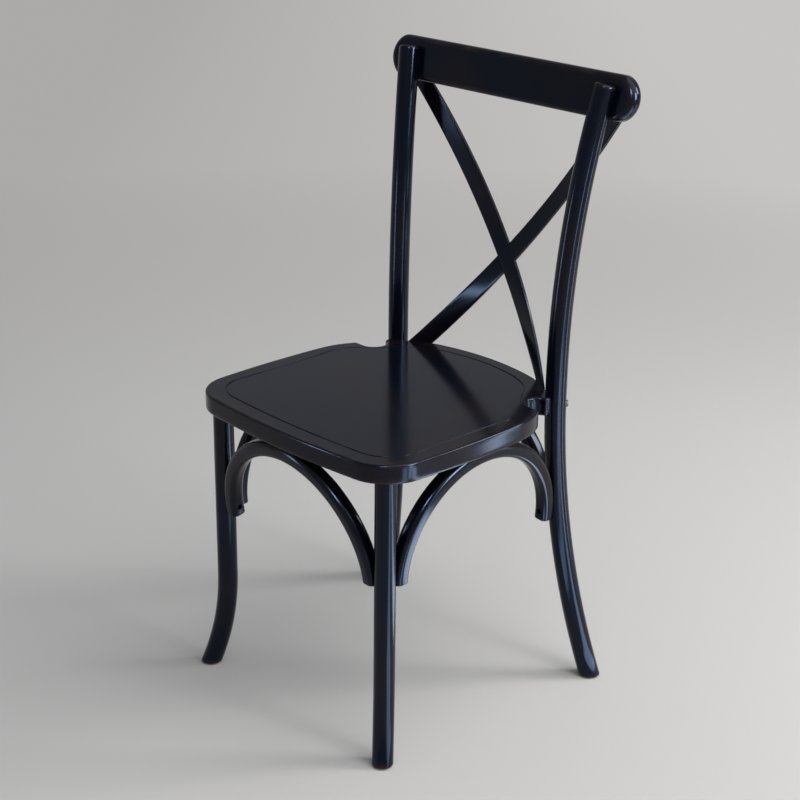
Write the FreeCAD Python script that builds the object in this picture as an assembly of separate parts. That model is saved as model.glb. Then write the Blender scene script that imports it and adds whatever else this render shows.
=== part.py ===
"""Cross back chair: a bentwood dining chair with a board seat and two crossing strips in its back.

The chair stands on z = 0 and faces -Y, with +X on the sitter's left. While it is being made, y = 0 is
the line through the front legs. At the end every piece moves back to the middle of the footprint.
All lengths are in millimetres and all angles in degrees.
"""
import FreeCAD
import Part
import math
import os

Vec = FreeCAD.Vector
UP = Vec(0, 0, 1)
SIDES = {"left": 1, "right": -1}

# Fits
glue_gap = 0.1            # between a wooden piece and the recess that it is let into
screw_gap = 0.15          # between a screw and its hole

# Seat board
seat_height = 450.0
seat_thickness = 28.0
seat_front_reach = 43.9   # from the front legs' line to the front edge
seat_half_width = 210.0
seat_rear_reach = 379.8   # from the front legs' line to the middle of the rear edge
seat_top_round = 3.0
seat_bottom_round = 4.5
seat_front_bend_x = 150.0     # the front edge is one long arc to here
seat_front_bend_drop = 7.5
seat_front_corner_y = 24.7    # and a tighter one to here, where the side starts
seat_front_corner_drop = 0.8
seat_widest_y = seat_rear_reach - 162.8
ear_line = seat_rear_reach - 103.8   # where the side ends and the cove in the rear corner starts
ear_drop = 16.5
ear_round = 7.0
cove_radius = 20.3
cove_centre_x = 173.0
tab_round = 5.0
seat_rear_bend_x = 94.5       # the rear edge is one long arc to here
seat_rear_bend_drop = 12.3
seat_corner_x = 146.2         # and a tighter one to here, beside the post
seat_corner_drop = 40.2
tab_meet_drop = 4.6
groove_inset = 27.0           # from the seat's edge to the routed line
groove_side_spare = 2.5
groove_front_bend = (48.0, 6.0)
groove_corner_y = 60.0
groove_widest_y = seat_widest_y - 17.0
groove_rear_inset = 22.0
groove_rear_bends = ((70.0, 8.5), (135.0, 54.0), (165.0, 89.0))   # across, and forward of the middle
groove_width = 2.4
groove_depth = 1.2

# Front legs
front_leg_x = 173.0
front_leg_diameter = 30.0
front_flare_height = 151.0
front_foot_out = 20.5
front_foot_forward = 21.0
leg_tenon_diameter = 18.0
leg_tenon_length = 18.0

# Rear posts
post_x = 165.2
post_y = seat_rear_reach - 39.0
post_diameter = 31.0
post_height = 893.0
post_lower_bend_top = 454.0
post_upper_bend_bottom = 476.0
post_foot_out = 60.5
post_foot_back = 37.8
post_top_out = 26.3
post_top_back = 42.1
post_top_round = 2.5
post_tip = 8.0            # the last stretch of a post, which is straight

# Crest rail
rail_bottom = post_height - 46.0
rail_height = 64.0
rail_thickness = 24.0
rail_half_length = 237.0
rail_edge_round = 7.0
rail_setback = 6.0        # from the post's axis back to the rail's front face

# Crossing strips of the back
strip_width = 27.3
strip_thickness = 5.0
strip_top_x = 190.7       # where a strip passes the rail's lower edge
strip_top_proud = 2.4     # from the rail's rear face back to the strip's middle
strip_cross_back = 65.1   # from the posts' line to the crossing
strip_bottom_x = 125.4    # where it meets the seat
strip_bow = 3.8
strip_top_toe = 10.0      # how far its face turns to the middle of the chair
strip_bottom_toe = 34.0
strip_rail_lap = 11.0      # how far a strip runs up the rail's back
strip_seat_lap = 12.0      # and how far down it is let into the seat's rear edge

# Arches under the seat
arch_width = 23.0
arch_depth = 23.0
arch_corner_round = 8.0
arch_end_height = 260.0
arch_end_straight = 5.0
arch_lean = {"front": 28.0, "rear": 0.0, "left": 14.0, "right": 14.0}   # how far the crown stands out
arch_slip = 8.0           # how far inside the post's middle a side arch ends
arch_end_round = 2.0
arch_cope = 1.5           # how deep an arch's end is hollowed to fit its leg
arch_crown_flat = 1.2     # what is planed off the crown under the seat
arch_screw_rise = 14.0    # from an arch's end up to its screw
arch_crown_screw_spread = 24.0

# Fastenings
wood_screw_diameter = 4.5
wood_screw_head_diameter = 8.0
wood_screw_head_height = 2.6
arch_screw_recess = 6.5
arch_end_screw_length = 26.0
arch_crown_screw_length = 31.0
rail_screw_diameter = 5.0
rail_screw_length = 34.0
rail_screw_recess = 6.0
rail_screw_head_diameter = 9.5
rail_screw_drops = (8.0, 22.0)   # below the post's top
rail_cap_diameter = 11.0
rail_cap_height = 2.2
strip_screw_diameter = 3.0
strip_screw_head_diameter = 6.0
strip_screw_head_height = 1.6
strip_screw_length = 22.0
cross_screw_length = 5.0
rail_strip_screw_length = 14.0
bolt_diameter = 8.0
bolt_length = 58.0
bolt_head_diameter = 13.0
bolt_head_height = 4.0
bolt_socket = 5.0
bolt_seat_radius = 12.6   # from the post's axis out to the washer's flat
bolt_angle = 45.0         # between the bolt and the Y axis, seen from above
washer_diameter = 16.0
washer_thickness = 1.4
nut_diameter = 12.0
nut_length = 18.0
nut_reach = 36.0          # from the post's axis in to the nut
glide_diameter = 22.0
glide_thickness = 2.5
glide_pin_diameter = 3.0
glide_pin_length = 14.0

# Worked-out places
seat_underside = seat_height - seat_thickness
seat_mid_height = seat_height - seat_thickness / 2
rail_mid_height = rail_bottom + rail_height / 2


def plan(x, y, z=0.0):
    """A point from its place in plan and its height."""
    return Vec(x, y, z)


def cylinder(radius, height, base, direction=UP):
    """A round bar that starts at base."""
    return Part.makeCylinder(radius, height, base, direction)


def rounded_rectangle(width, depth, radius, centre, across, along):
    """A wire round a centre point, width long on the across axis and depth long on the along axis."""
    normal = across.cross(along)
    corners = []
    for sx, sy in ((1, 1), (-1, 1), (-1, -1), (1, -1)):
        middle = centre + across * (sx * (width / 2 - radius)) + along * (sy * (depth / 2 - radius))
        corners.append((middle, sx, sy))
    edges = []
    for i, (middle, sx, sy) in enumerate(corners):
        first, last = across * (sx * radius), along * (sy * radius)
        if sx * sy < 0:
            first, last = last, first
        halfway = (first + last).normalize() * radius
        edges.append(Part.Arc(middle + first, middle + halfway, middle + last).toShape())
        nxt, nx, ny = corners[(i + 1) % 4]
        nxt_first = across * (nx * radius) if nx * ny > 0 else along * (ny * radius)
        edges.append(Part.LineSegment(middle + last, nxt + nxt_first).toShape())
    return Part.Wire(Part.__sortEdges__(edges)), normal


def bend_radius(length, offset):
    """Radius of an arc that leaves a line and stands off it by offset after length."""
    return (length ** 2 + offset ** 2) / (2 * offset)


def bend_offset(length, radius):
    """How far that arc stands off its line after length."""
    return radius - math.sqrt(radius ** 2 - length ** 2)


def bent_rod(start, outward, length, bend, sense, radius):
    """A round bar that starts upright and bends outward, going up (sense 1) or down (sense -1)."""
    disc = Part.Face(Part.Wire(Part.Circle(start, UP, radius).toShape()))
    turn = math.degrees(math.asin(length / bend))
    return disc.revolve(start + outward * bend, UP.cross(outward) * sense, turn)


def upright_rod(low, high, radius):
    """A round bar between two points, one above the other."""
    return cylinder(radius, high.z - low.z, low)


def tangent_chain(start, heading, steps):
    """Edges of a smooth outline in plan.

    Each step is ("through", x, y), an arc that keeps the heading and ends at a point,
    ("turn", radius, heading), an arc of that radius, or ("run", x, y), a straight line.
    """
    edges, point = [], start
    for kind, first, second in steps:
        ahead = Vec(math.cos(math.radians(heading)), math.sin(math.radians(heading)), 0)
        if kind == "run":
            end = Vec(first, second, start.z)
            edges.append(Part.LineSegment(point, end).toShape())
        elif kind == "through":
            end = Vec(first, second, start.z)
            chord = end - point
            chord_heading = math.degrees(math.atan2(chord.y, chord.x))
            half_turn = (chord_heading - heading + 180) % 360 - 180
            middle_heading = math.radians(heading + half_turn / 2)
            leg = chord.Length / 2 / math.cos(math.radians(half_turn / 2))
            middle = point + Vec(math.cos(middle_heading), math.sin(middle_heading), 0) * leg
            edges.append(Part.Arc(point, middle, end).toShape())
            heading += 2 * half_turn
        else:
            turn = (second - heading + 180) % 360 - 180
            side = 1 if turn > 0 else -1
            centre = point + Vec(-ahead.y, ahead.x, 0) * (side * first)
            arm = point - centre

            def at(angle):
                c, s = math.cos(math.radians(angle)), math.sin(math.radians(angle))
                return centre + Vec(arm.x * c - arm.y * s, arm.x * s + arm.y * c, 0)
            end = at(turn)
            edges.append(Part.Arc(point, at(turn / 2), end).toShape())
            heading = second
        point = end
    return edges, point


def mirrored(shape):
    """The same shape on the other side of the chair."""
    return shape.mirror(Vec(0, 0, 0), Vec(1, 0, 0))


# Where the legs and posts stand at a height

front_foot_offset = math.hypot(front_foot_out, front_foot_forward)
front_bend = bend_radius(front_flare_height, front_foot_offset)
post_foot_offset = math.hypot(post_foot_out, post_foot_back)
post_lower_bend = bend_radius(post_lower_bend_top, post_foot_offset)
post_top_offset = math.hypot(post_top_out, post_top_back)
post_upper_length = post_height - post_upper_bend_bottom
post_upper_bend = bend_radius(post_upper_length, post_top_offset)


def front_leg_axis(z, side):
    """A front leg's centre at a height."""
    offset = bend_offset(max(0.0, front_flare_height - z), front_bend)
    share = offset / front_foot_offset
    return Vec(side * (front_leg_x + front_foot_out * share), -front_foot_forward * share, z)


def post_axis(z, side):
    """A rear post's centre at a height."""
    if z < post_lower_bend_top:
        share = bend_offset(post_lower_bend_top - z, post_lower_bend) / post_foot_offset
        return Vec(side * (post_x + post_foot_out * share), post_y + post_foot_back * share, z)
    share = bend_offset(max(0.0, z - post_upper_bend_bottom), post_upper_bend) / post_top_offset
    return Vec(side * (post_x + post_top_out * share), post_y + post_top_back * share, z)


def front_leg_rod(side, radius):
    """A front leg's round bar, past the floor and up to the seat's underside."""
    outward = Vec(side * front_foot_out, -front_foot_forward, 0) / front_foot_offset
    top, bend = front_leg_axis(seat_underside, side), front_leg_axis(front_flare_height, side)
    foot = bent_rod(bend, outward, front_flare_height + front_leg_diameter / 2, front_bend, -1, radius)
    return upright_rod(bend, top, radius).fuse(foot)


def post_rod(side, radius):
    """A rear post's round bar, past the floor and up to the post's top."""
    foot_way = Vec(side * post_foot_out, post_foot_back, 0) / post_foot_offset
    top_way = Vec(side * post_top_out, post_top_back, 0) / post_top_offset
    low, high = post_axis(post_lower_bend_top, side), post_axis(post_upper_bend_bottom, side)
    foot = bent_rod(low, foot_way, post_lower_bend_top + post_diameter / 2, post_lower_bend, -1, radius)
    bend = bent_rod(high, top_way, post_upper_length - post_tip, post_upper_bend, 1, radius)
    tip_low = post_axis(post_height - post_tip, side)
    turn = math.asin((post_upper_length - post_tip) / post_upper_bend)
    tip_way = top_way * math.sin(turn) + UP * math.cos(turn)
    tip = cylinder(radius, post_tip / math.cos(turn), tip_low, tip_way)
    rim = max(tip.Edges, key=lambda e: e.BoundBox.Center.z)
    tip = tip.makeFillet(post_top_round, [rim])
    return upright_rod(low, high, radius).fuse([foot, bend, tip])


def above_floor(shape):
    """Cuts a foot level, just above the floor, where its glide goes."""
    box = shape.BoundBox
    spare = 10.0
    cutter = Part.makeBox(box.XLength + 2 * spare, box.YLength + 2 * spare, glide_thickness - box.ZMin + spare,
                          Vec(box.XMin - spare, box.YMin - spare, box.ZMin - spare))
    return shape.cut(cutter)


# Fasteners

def wood_screw(head, way, length, diameter, head_diameter, head_height):
    """A screw with a pan head at a point, its shank along way and a pointed end."""
    tip = diameter
    shape = cylinder(head_diameter / 2, head_height, head, way)
    shape = shape.fuse(cylinder(diameter / 2, length - head_height - tip, head + way * head_height, way))
    point = Part.makeCone(diameter / 2, diameter / 8, tip, head + way * (length - tip), way)
    return shape.fuse(point).removeSplitter()


def screw_hole(head, way, length, diameter, head_diameter, recess):
    """The hole for such a screw, with a recess of that depth in front of its head's underside."""
    shank = cylinder(diameter / 2 + screw_gap, length + screw_gap, head, way)
    return shank.fuse(cylinder(head_diameter / 2 + screw_gap, recess, head, way * -1))


# Arches

class Arch:
    """A bent bar between two legs. It leans outward, and its crown lies against the seat's underside."""

    def __init__(self, first, last, first_reach, last_reach, outward, lean):
        """first and last are points inside the legs, with how far each leg reaches from there."""
        span = Vec(last.x - first.x, last.y - first.y, 0)
        self.along = span / span.Length
        outward = (outward - self.along * outward.dot(self.along)).normalize()
        rise = seat_underside - arch_depth / 2 + arch_crown_flat - arch_end_height
        self.height = math.hypot(rise, lean)
        self.up = (UP * rise + outward * lean) / self.height
        self.across = self.along.cross(self.up)
        inset = arch_depth / 2 - arch_cope
        start = plan(first.x, first.y, arch_end_height) + self.along * (first_reach + inset)
        end = plan(last.x, last.y, arch_end_height) - self.along * (last_reach + inset)
        self.middle = (start + end) / 2
        self.half_span = (end - start).Length / 2
        self.bend = min(self.half_span, self.height - arch_end_straight)

    def bar(self):
        """The bent bar, still uncut at its crown and ends."""
        low = self.middle - self.along * self.half_span
        profile, _ = rounded_rectangle(arch_width, arch_depth, arch_corner_round, low, self.across, self.along)
        face = Part.Face(profile)
        straight = self.up * (self.height - self.bend)
        half = face.extrude(straight)
        face.translate(straight)
        pivot = low + straight + self.along * self.bend
        half = half.fuse(face.revolve(pivot, self.up.cross(self.along), 90.0))
        flat = self.along * (self.half_span - self.bend)
        if flat.Length > glue_gap:
            face.rotate(pivot, self.up.cross(self.along), 90.0)
            half = half.fuse(face.extrude(flat))
        bar = half.fuse(half.mirror(self.middle, self.along)).removeSplitter()
        rims = [e for e in bar.Edges
                if max(abs((v.Point - self.middle).dot(self.up)) for v in e.Vertexes) < 1e-4]
        return bar.makeFillet(arch_end_round, rims)

    def end_screws(self):
        """Where the screws of both ends have their heads, and their ways."""
        places = []
        for sense in (-1, 1):
            way = self.along * sense
            inner_face = self.middle + way * (self.half_span - arch_depth / 2)
            places.append((inner_face + way * arch_screw_recess + self.up * arch_screw_rise, way))
        return places

    def crown_screws(self):
        """Where the crown's screws have their heads, and their ways."""
        bottom = self.middle + self.up * self.height - UP * (arch_depth / 2 - arch_screw_recess)
        half = arch_crown_screw_spread / 2
        return [(bottom + self.along * (sense * half), UP) for sense in (-1, 1)]


def build_arches():
    """The arches by name, from the legs' places at the height of the end screws."""
    height = arch_end_height + arch_screw_rise
    front = {side: front_leg_axis(height, s) for side, s in SIDES.items()}
    rear = {side: post_axis(height, s) for side, s in SIDES.items()}
    forward = Vec(0, -1, 0)
    arches = {
        "front": Arch(front["right"], front["left"], front_radius, front_radius, forward, arch_lean["front"]),
        "rear": Arch(rear["right"], rear["left"], post_radius, post_radius, forward * -1, arch_lean["rear"]),
    }
    slip_reach = math.sqrt(post_radius ** 2 - arch_slip ** 2)
    for side, s in SIDES.items():
        sideways = Vec(s, 0, 0)
        arches[side] = Arch(front[side], rear[side] - sideways * arch_slip, front_radius, slip_reach, sideways,
                            arch_lean[side])
    return arches


front_radius, post_radius = front_leg_diameter / 2, post_diameter / 2
arches = build_arches()


# Crest rail

rail_lean = math.degrees(math.asin((rail_mid_height - post_upper_bend_bottom) / post_upper_bend))
rail_lean *= post_top_back / post_top_offset
rail_up = Vec(0, math.sin(math.radians(rail_lean)), math.cos(math.radians(rail_lean)))
rail_back = Vec(0, math.cos(math.radians(rail_lean)), -math.sin(math.radians(rail_lean)))
rail_front_low = plan(0, post_axis(rail_bottom, 1).y + rail_setback, rail_bottom)


def rail_blank():
    """A straight bar with round ends and rounded edges, leaning as the posts do."""
    radius = rail_height / 2
    reach = rail_half_length - radius
    ends = []
    for sense in (1, -1):
        low, high = Vec(sense * reach, 0, 0), Vec(sense * reach, 0, rail_height)
        ends.append(Part.Arc(low, Vec(sense * rail_half_length, 0, radius), high).toShape())
    sides = [Part.LineSegment(Vec(-reach, 0, z), Vec(reach, 0, z)).toShape() for z in (0, rail_height)]
    outline = Part.Wire(Part.__sortEdges__(ends + sides))
    bar = Part.Face(outline).extrude(Vec(0, rail_thickness, 0))
    rims = [e for e in bar.Edges if e.BoundBox.YLength < 1e-4]
    bar = bar.makeFillet(rail_edge_round, rims)
    bar.rotate(Vec(0, 0, 0), Vec(1, 0, 0), -rail_lean)
    bar.translate(rail_front_low)
    return bar


def rail_screw_places(side):
    """Where the rail's screws have their heads at one post, going forward into it."""
    places = []
    for drop in rail_screw_drops:
        axis = post_axis(post_height - drop, side)
        to_rear = rail_setback + rail_thickness - rail_screw_recess
        places.append((axis + rail_back * to_rear, rail_back * -1))
    return places


# Crossing strips. Both lie on one round surface, hollow towards the sitter and leaning back, so that
# they meet flat where they cross. A strip's place is told by s, 0 at the rail and 1 at the seat's top.

strip_drop = rail_bottom - seat_height
strip_top_y = rail_front_low.y + rail_thickness / math.cos(math.radians(rail_lean)) + strip_top_proud
strip_cross_y = post_y + strip_cross_back


def strip_x(s):
    """Sideways place, with a slight bow."""
    return -strip_top_x + (strip_top_x + strip_bottom_x) * s - strip_bow * 4 * s * (1 - s)


def strip_z(s):
    """Height."""
    return rail_bottom - strip_drop * s


def crossing():
    """The s at which a strip passes the middle of the chair, found by halving."""
    low, high = 0.0, 1.0
    for _ in range(60):
        middle = (low + high) / 2
        low, high = (middle, high) if strip_x(middle) < 0 else (low, middle)
    return low


strip_cross_s = crossing()
strip_cross_z = strip_z(strip_cross_s)


def seat_rear_edge(x):
    """How far back the seat's rear edge is at a place across it, near the strips' feet."""
    radius = (seat_rear_bend_x ** 2 + seat_rear_bend_drop ** 2) / (2 * seat_rear_bend_drop)
    start = math.asin(seat_rear_bend_x / radius)
    chord = Vec(seat_corner_x - seat_rear_bend_x, seat_corner_drop - seat_rear_bend_drop, 0)
    turn = 2 * (math.atan2(chord.y, chord.x) - start)
    corner_radius = chord.Length / 2 / math.sin(turn / 2)
    end = math.asin(math.sin(start) + (x - seat_rear_bend_x) / corner_radius)
    return seat_rear_reach - seat_rear_bend_drop - corner_radius * (math.cos(start) - math.cos(end))


strip_bottom_y = seat_rear_edge(strip_bottom_x) - strip_thickness / 2 / math.cos(math.radians(strip_bottom_toe))


def strip_surface():
    """Lean and hollow of the round surface, from its depth at the rail, the crossing and the seat."""
    high, low = rail_bottom - strip_cross_z, seat_height - strip_cross_z
    a, b = strip_top_x ** 2, strip_bottom_x ** 2
    top, bottom = strip_top_y - strip_cross_y, strip_bottom_y - strip_cross_y
    determinant = -high * b + a * low
    return (-top * b + a * bottom) / determinant, (high * bottom - low * top) / determinant


strip_lean, strip_hollow = strip_surface()


def strip_point(s):
    """A point on a strip's middle line."""
    x, z = strip_x(s), strip_z(s)
    return Vec(x, strip_cross_y + strip_lean * (z - strip_cross_z) - strip_hollow * x * x, z)


def strip_toe(s):
    """How far the face turns to the middle: a smooth curve that is 0 at the crossing."""
    k = strip_cross_s
    curve = (-strip_bottom_toe - strip_top_toe + strip_top_toe / k) / (1 - k)
    slope = -strip_bottom_toe - strip_top_toe - curve
    return strip_top_toe + slope * s + curve * s * s


def strip_frame(s):
    """Directions along a strip's width and out of its front face."""
    step = 1e-4
    ahead = (strip_point(s + step) - strip_point(s - step)).normalize()
    toe = math.radians(strip_toe(s))
    flat = Vec(math.sin(toe), -math.cos(toe), 0)
    out = Vec(flat.x, flat.y, -(flat.x * ahead.x + flat.y * ahead.y) / ahead.z).normalize()
    return ahead.cross(out), out


def strip_blank(margin=0.0, front_extra=0.0, rear_extra=0.0):
    """A bent and slightly twisted strip from the right of the rail to the left of the seat.

    As a cutter it is a margin larger all round, and by the extras on its front and rear faces.
    """
    sections = []
    steps = 12
    first = -(strip_rail_lap + strip_width) / strip_drop
    last = 1 + (strip_seat_lap + strip_width) / strip_drop
    for i in range(steps + 1):
        s = first + (last - first) * i / steps
        across, out = strip_frame(s)
        half_width, half_depth = strip_width / 2 + margin, strip_thickness / 2 + margin
        front, rear = half_depth + front_extra, -half_depth - rear_extra
        corners = [strip_point(s) + across * (a * half_width) + out * depth
                   for a, depth in ((1, front), (-1, front), (-1, rear), (1, rear))]
        sections.append(Part.makePolygon(corners + corners[:1]))
    return Part.makeLoft(sections, True, False)


def slab(low, high):
    """Everything between two heights."""
    reach = 1000.0
    return Part.makeBox(2 * reach, 2 * reach, high - low, Vec(-reach, -reach, low))


def rear_half():
    """Everything behind the middle of the crossing."""
    reach = 100.0
    box = Part.makeBox(2 * reach, reach, 2 * reach, Vec(-reach, 0, -reach))
    lean = math.degrees(math.atan(strip_lean))
    box.rotate(Vec(0, 0, 0), Vec(1, 0, 0), -lean)
    box.translate(Vec(0, strip_cross_y, strip_cross_z))
    return box


def strip_screw_place(s):
    """Where a screw through a strip at s has its head, in the rear face, and its level way forward."""
    _, out = strip_frame(s)
    way = Vec(out.x, out.y, 0).normalize()
    return strip_point(s) - way * (strip_thickness / 2), way


def cross_screw_place():
    """The head of the screw through the crossing, in the rear face, and its way."""
    _, out = strip_frame(strip_cross_s)
    return strip_point(strip_cross_s) - out * (strip_thickness / 2), out


def strip_screw(place, length):
    """A small countersunk-flush screw and its hole."""
    head, way = place
    screw = wood_screw(head, way, length, strip_screw_diameter, strip_screw_head_diameter, strip_screw_head_height)
    hole = screw_hole(head + way * strip_screw_head_height, way, length - strip_screw_head_height,
                      strip_screw_diameter, strip_screw_head_diameter, strip_thickness)
    return screw, hole


# Post bolts

def bolt_way(side):
    """From behind the post into the seat."""
    angle = math.radians(bolt_angle)
    return Vec(-side * math.sin(angle), -math.cos(angle), 0)


def bolt_centre(side):
    """Where the bolt crosses the post's axis."""
    return post_axis(seat_mid_height, side)


def post_bolt(side):
    """A button-head bolt with a hexagon socket."""
    way, centre = bolt_way(side), bolt_centre(side)
    under_head = centre - way * (bolt_seat_radius + washer_thickness)
    shank = cylinder(bolt_diameter / 2, bolt_length, under_head, way)
    head = Part.makeCone(bolt_head_diameter / 2, bolt_head_diameter / 3.2, bolt_head_height, under_head, way * -1)
    corners = []
    sideways = way.cross(UP)
    top = under_head - way * bolt_head_height
    for i in range(7):
        angle = math.radians(60 * i)
        corners.append(top + (sideways * math.cos(angle) + UP * math.sin(angle)) * (bolt_socket / math.sqrt(3)))
    socket = Part.Face(Part.makePolygon(corners)).extrude(way * (bolt_head_height * 0.6))
    return shank.fuse(head).removeSplitter().cut(socket)


def bolt_hole(side):
    """The bolt's hole with the washer's flat."""
    way, centre = bolt_way(side), bolt_centre(side)
    seat = centre - way * bolt_seat_radius
    hole = cylinder(bolt_diameter / 2 + screw_gap, bolt_length + 2 * washer_thickness, seat, way)
    return hole.fuse(cylinder(washer_diameter / 2 + screw_gap, post_diameter / 2, seat, way * -1))


def bolt_washer(side):
    """A flat ring between the bolt's head and the post."""
    way, centre = bolt_way(side), bolt_centre(side)
    seat = centre - way * bolt_seat_radius
    ring = cylinder(washer_diameter / 2, washer_thickness, seat, way * -1)
    return ring.cut(cylinder(bolt_diameter / 2 + screw_gap, washer_thickness, seat, way * -1))


def nut_centre(side):
    """The middle of the barrel nut inside the seat."""
    return bolt_centre(side) + bolt_way(side) * nut_reach


def barrel_nut(side):
    """A round bar across the bolt, pushed in from below, with the bolt's thread through it."""
    centre = nut_centre(side)
    nut = cylinder(nut_diameter / 2, nut_length, centre - UP * (nut_length / 2))
    bore = cylinder(bolt_diameter / 2 + screw_gap, nut_diameter, centre - bolt_way(side) * (nut_diameter / 2),
                    bolt_way(side))
    return nut.cut(bore)


def nut_hole(side):
    """The hole that the nut is pushed into, open below."""
    centre = nut_centre(side)
    depth = centre.z + nut_length / 2 - seat_underside
    return cylinder(nut_diameter / 2 + screw_gap, depth + screw_gap, plan(centre.x, centre.y, seat_underside))


# Seat board

def seat_half_outline(z):
    """The left half of the seat's edge, from the middle of the front round to the middle of the rear."""
    meet_y = seat_rear_reach - seat_corner_drop - tab_meet_drop
    front, _ = tangent_chain(plan(0, -seat_front_reach, z), 0.0, [
        ("through", seat_front_bend_x, seat_front_bend_drop - seat_front_reach),
        ("through", seat_half_width - seat_front_corner_drop, seat_front_corner_y),
        ("through", seat_half_width, seat_widest_y),
        ("through", seat_half_width - ear_drop, ear_line - ear_round / 2),
        ("turn", ear_round, 180.0),
    ])
    last = front[-1].Vertexes[-1].Point
    cove, point = tangent_chain(last, 180.0, [
        ("run", cove_centre_x, last.y),
        ("turn", cove_radius, 20.0),
        ("turn", tab_round, 90.0),
    ])
    tab, point = tangent_chain(point, 90.0, [
        ("run", point.x, meet_y - ear_round),
        ("turn", ear_round, 180.0),
    ])
    rear, rear_end = tangent_chain(plan(0, seat_rear_reach, z), 0.0, [
        ("through", seat_rear_bend_x, seat_rear_reach - seat_rear_bend_drop),
        ("through", seat_corner_x, seat_rear_reach - seat_corner_drop),
    ])
    hidden = [Part.LineSegment(point, rear_end).toShape()]
    return front + cove + tab + hidden + rear


def closed_face(half):
    """A face inside a half outline and its mirror image."""
    return Part.Face(Part.Wire(Part.__sortEdges__(half + [mirrored(e) for e in half])))


def seat_groove():
    """The routed line: a shallow channel that follows the edge and cuts across the rear corners."""
    top = seat_height
    front_y = groove_inset - seat_front_reach
    side_x = seat_half_width + groove_side_spare - groove_inset
    rear_y = seat_rear_reach - groove_rear_inset
    in_from_side, back = groove_front_bend
    front, _ = tangent_chain(plan(0, front_y, top), 0.0, [
        ("through", side_x - in_from_side, front_y + back),
        ("through", side_x, front_y + groove_corner_y),
        ("through", side_x, groove_widest_y),
    ])
    steps = [("through", x, rear_y - ahead) for x, ahead in groove_rear_bends]
    rear, _ = tangent_chain(plan(0, rear_y, top), 0.0, steps + [("through", side_x, groove_widest_y)])
    line = closed_face(front + rear).OuterWire
    outer = Part.Face(line.makeOffset2D(groove_width / 2))
    inner = Part.Face(line.makeOffset2D(-groove_width / 2))
    return outer.cut(inner).extrude(UP * -groove_depth)


def seat_board(cutters):
    """The seat with rounded edges, its groove and every recess that other pieces are let into."""
    board = closed_face(seat_half_outline(seat_underside)).extrude(UP * seat_thickness)
    top = [e for e in board.Edges if e.BoundBox.ZMin > seat_height - 1e-3]
    bottom = [e for e in board.Edges if e.BoundBox.ZMax < seat_underside + 1e-3]
    board = board.makeFillet(seat_top_round, top)
    bottom = [e for e in board.Edges if e.BoundBox.ZMax < seat_underside + 1e-3]
    board = board.makeFillet(seat_bottom_round, bottom)
    board = board.cut(seat_groove())
    for cutter in cutters:
        board = board.cut(cutter)
    return board


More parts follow.
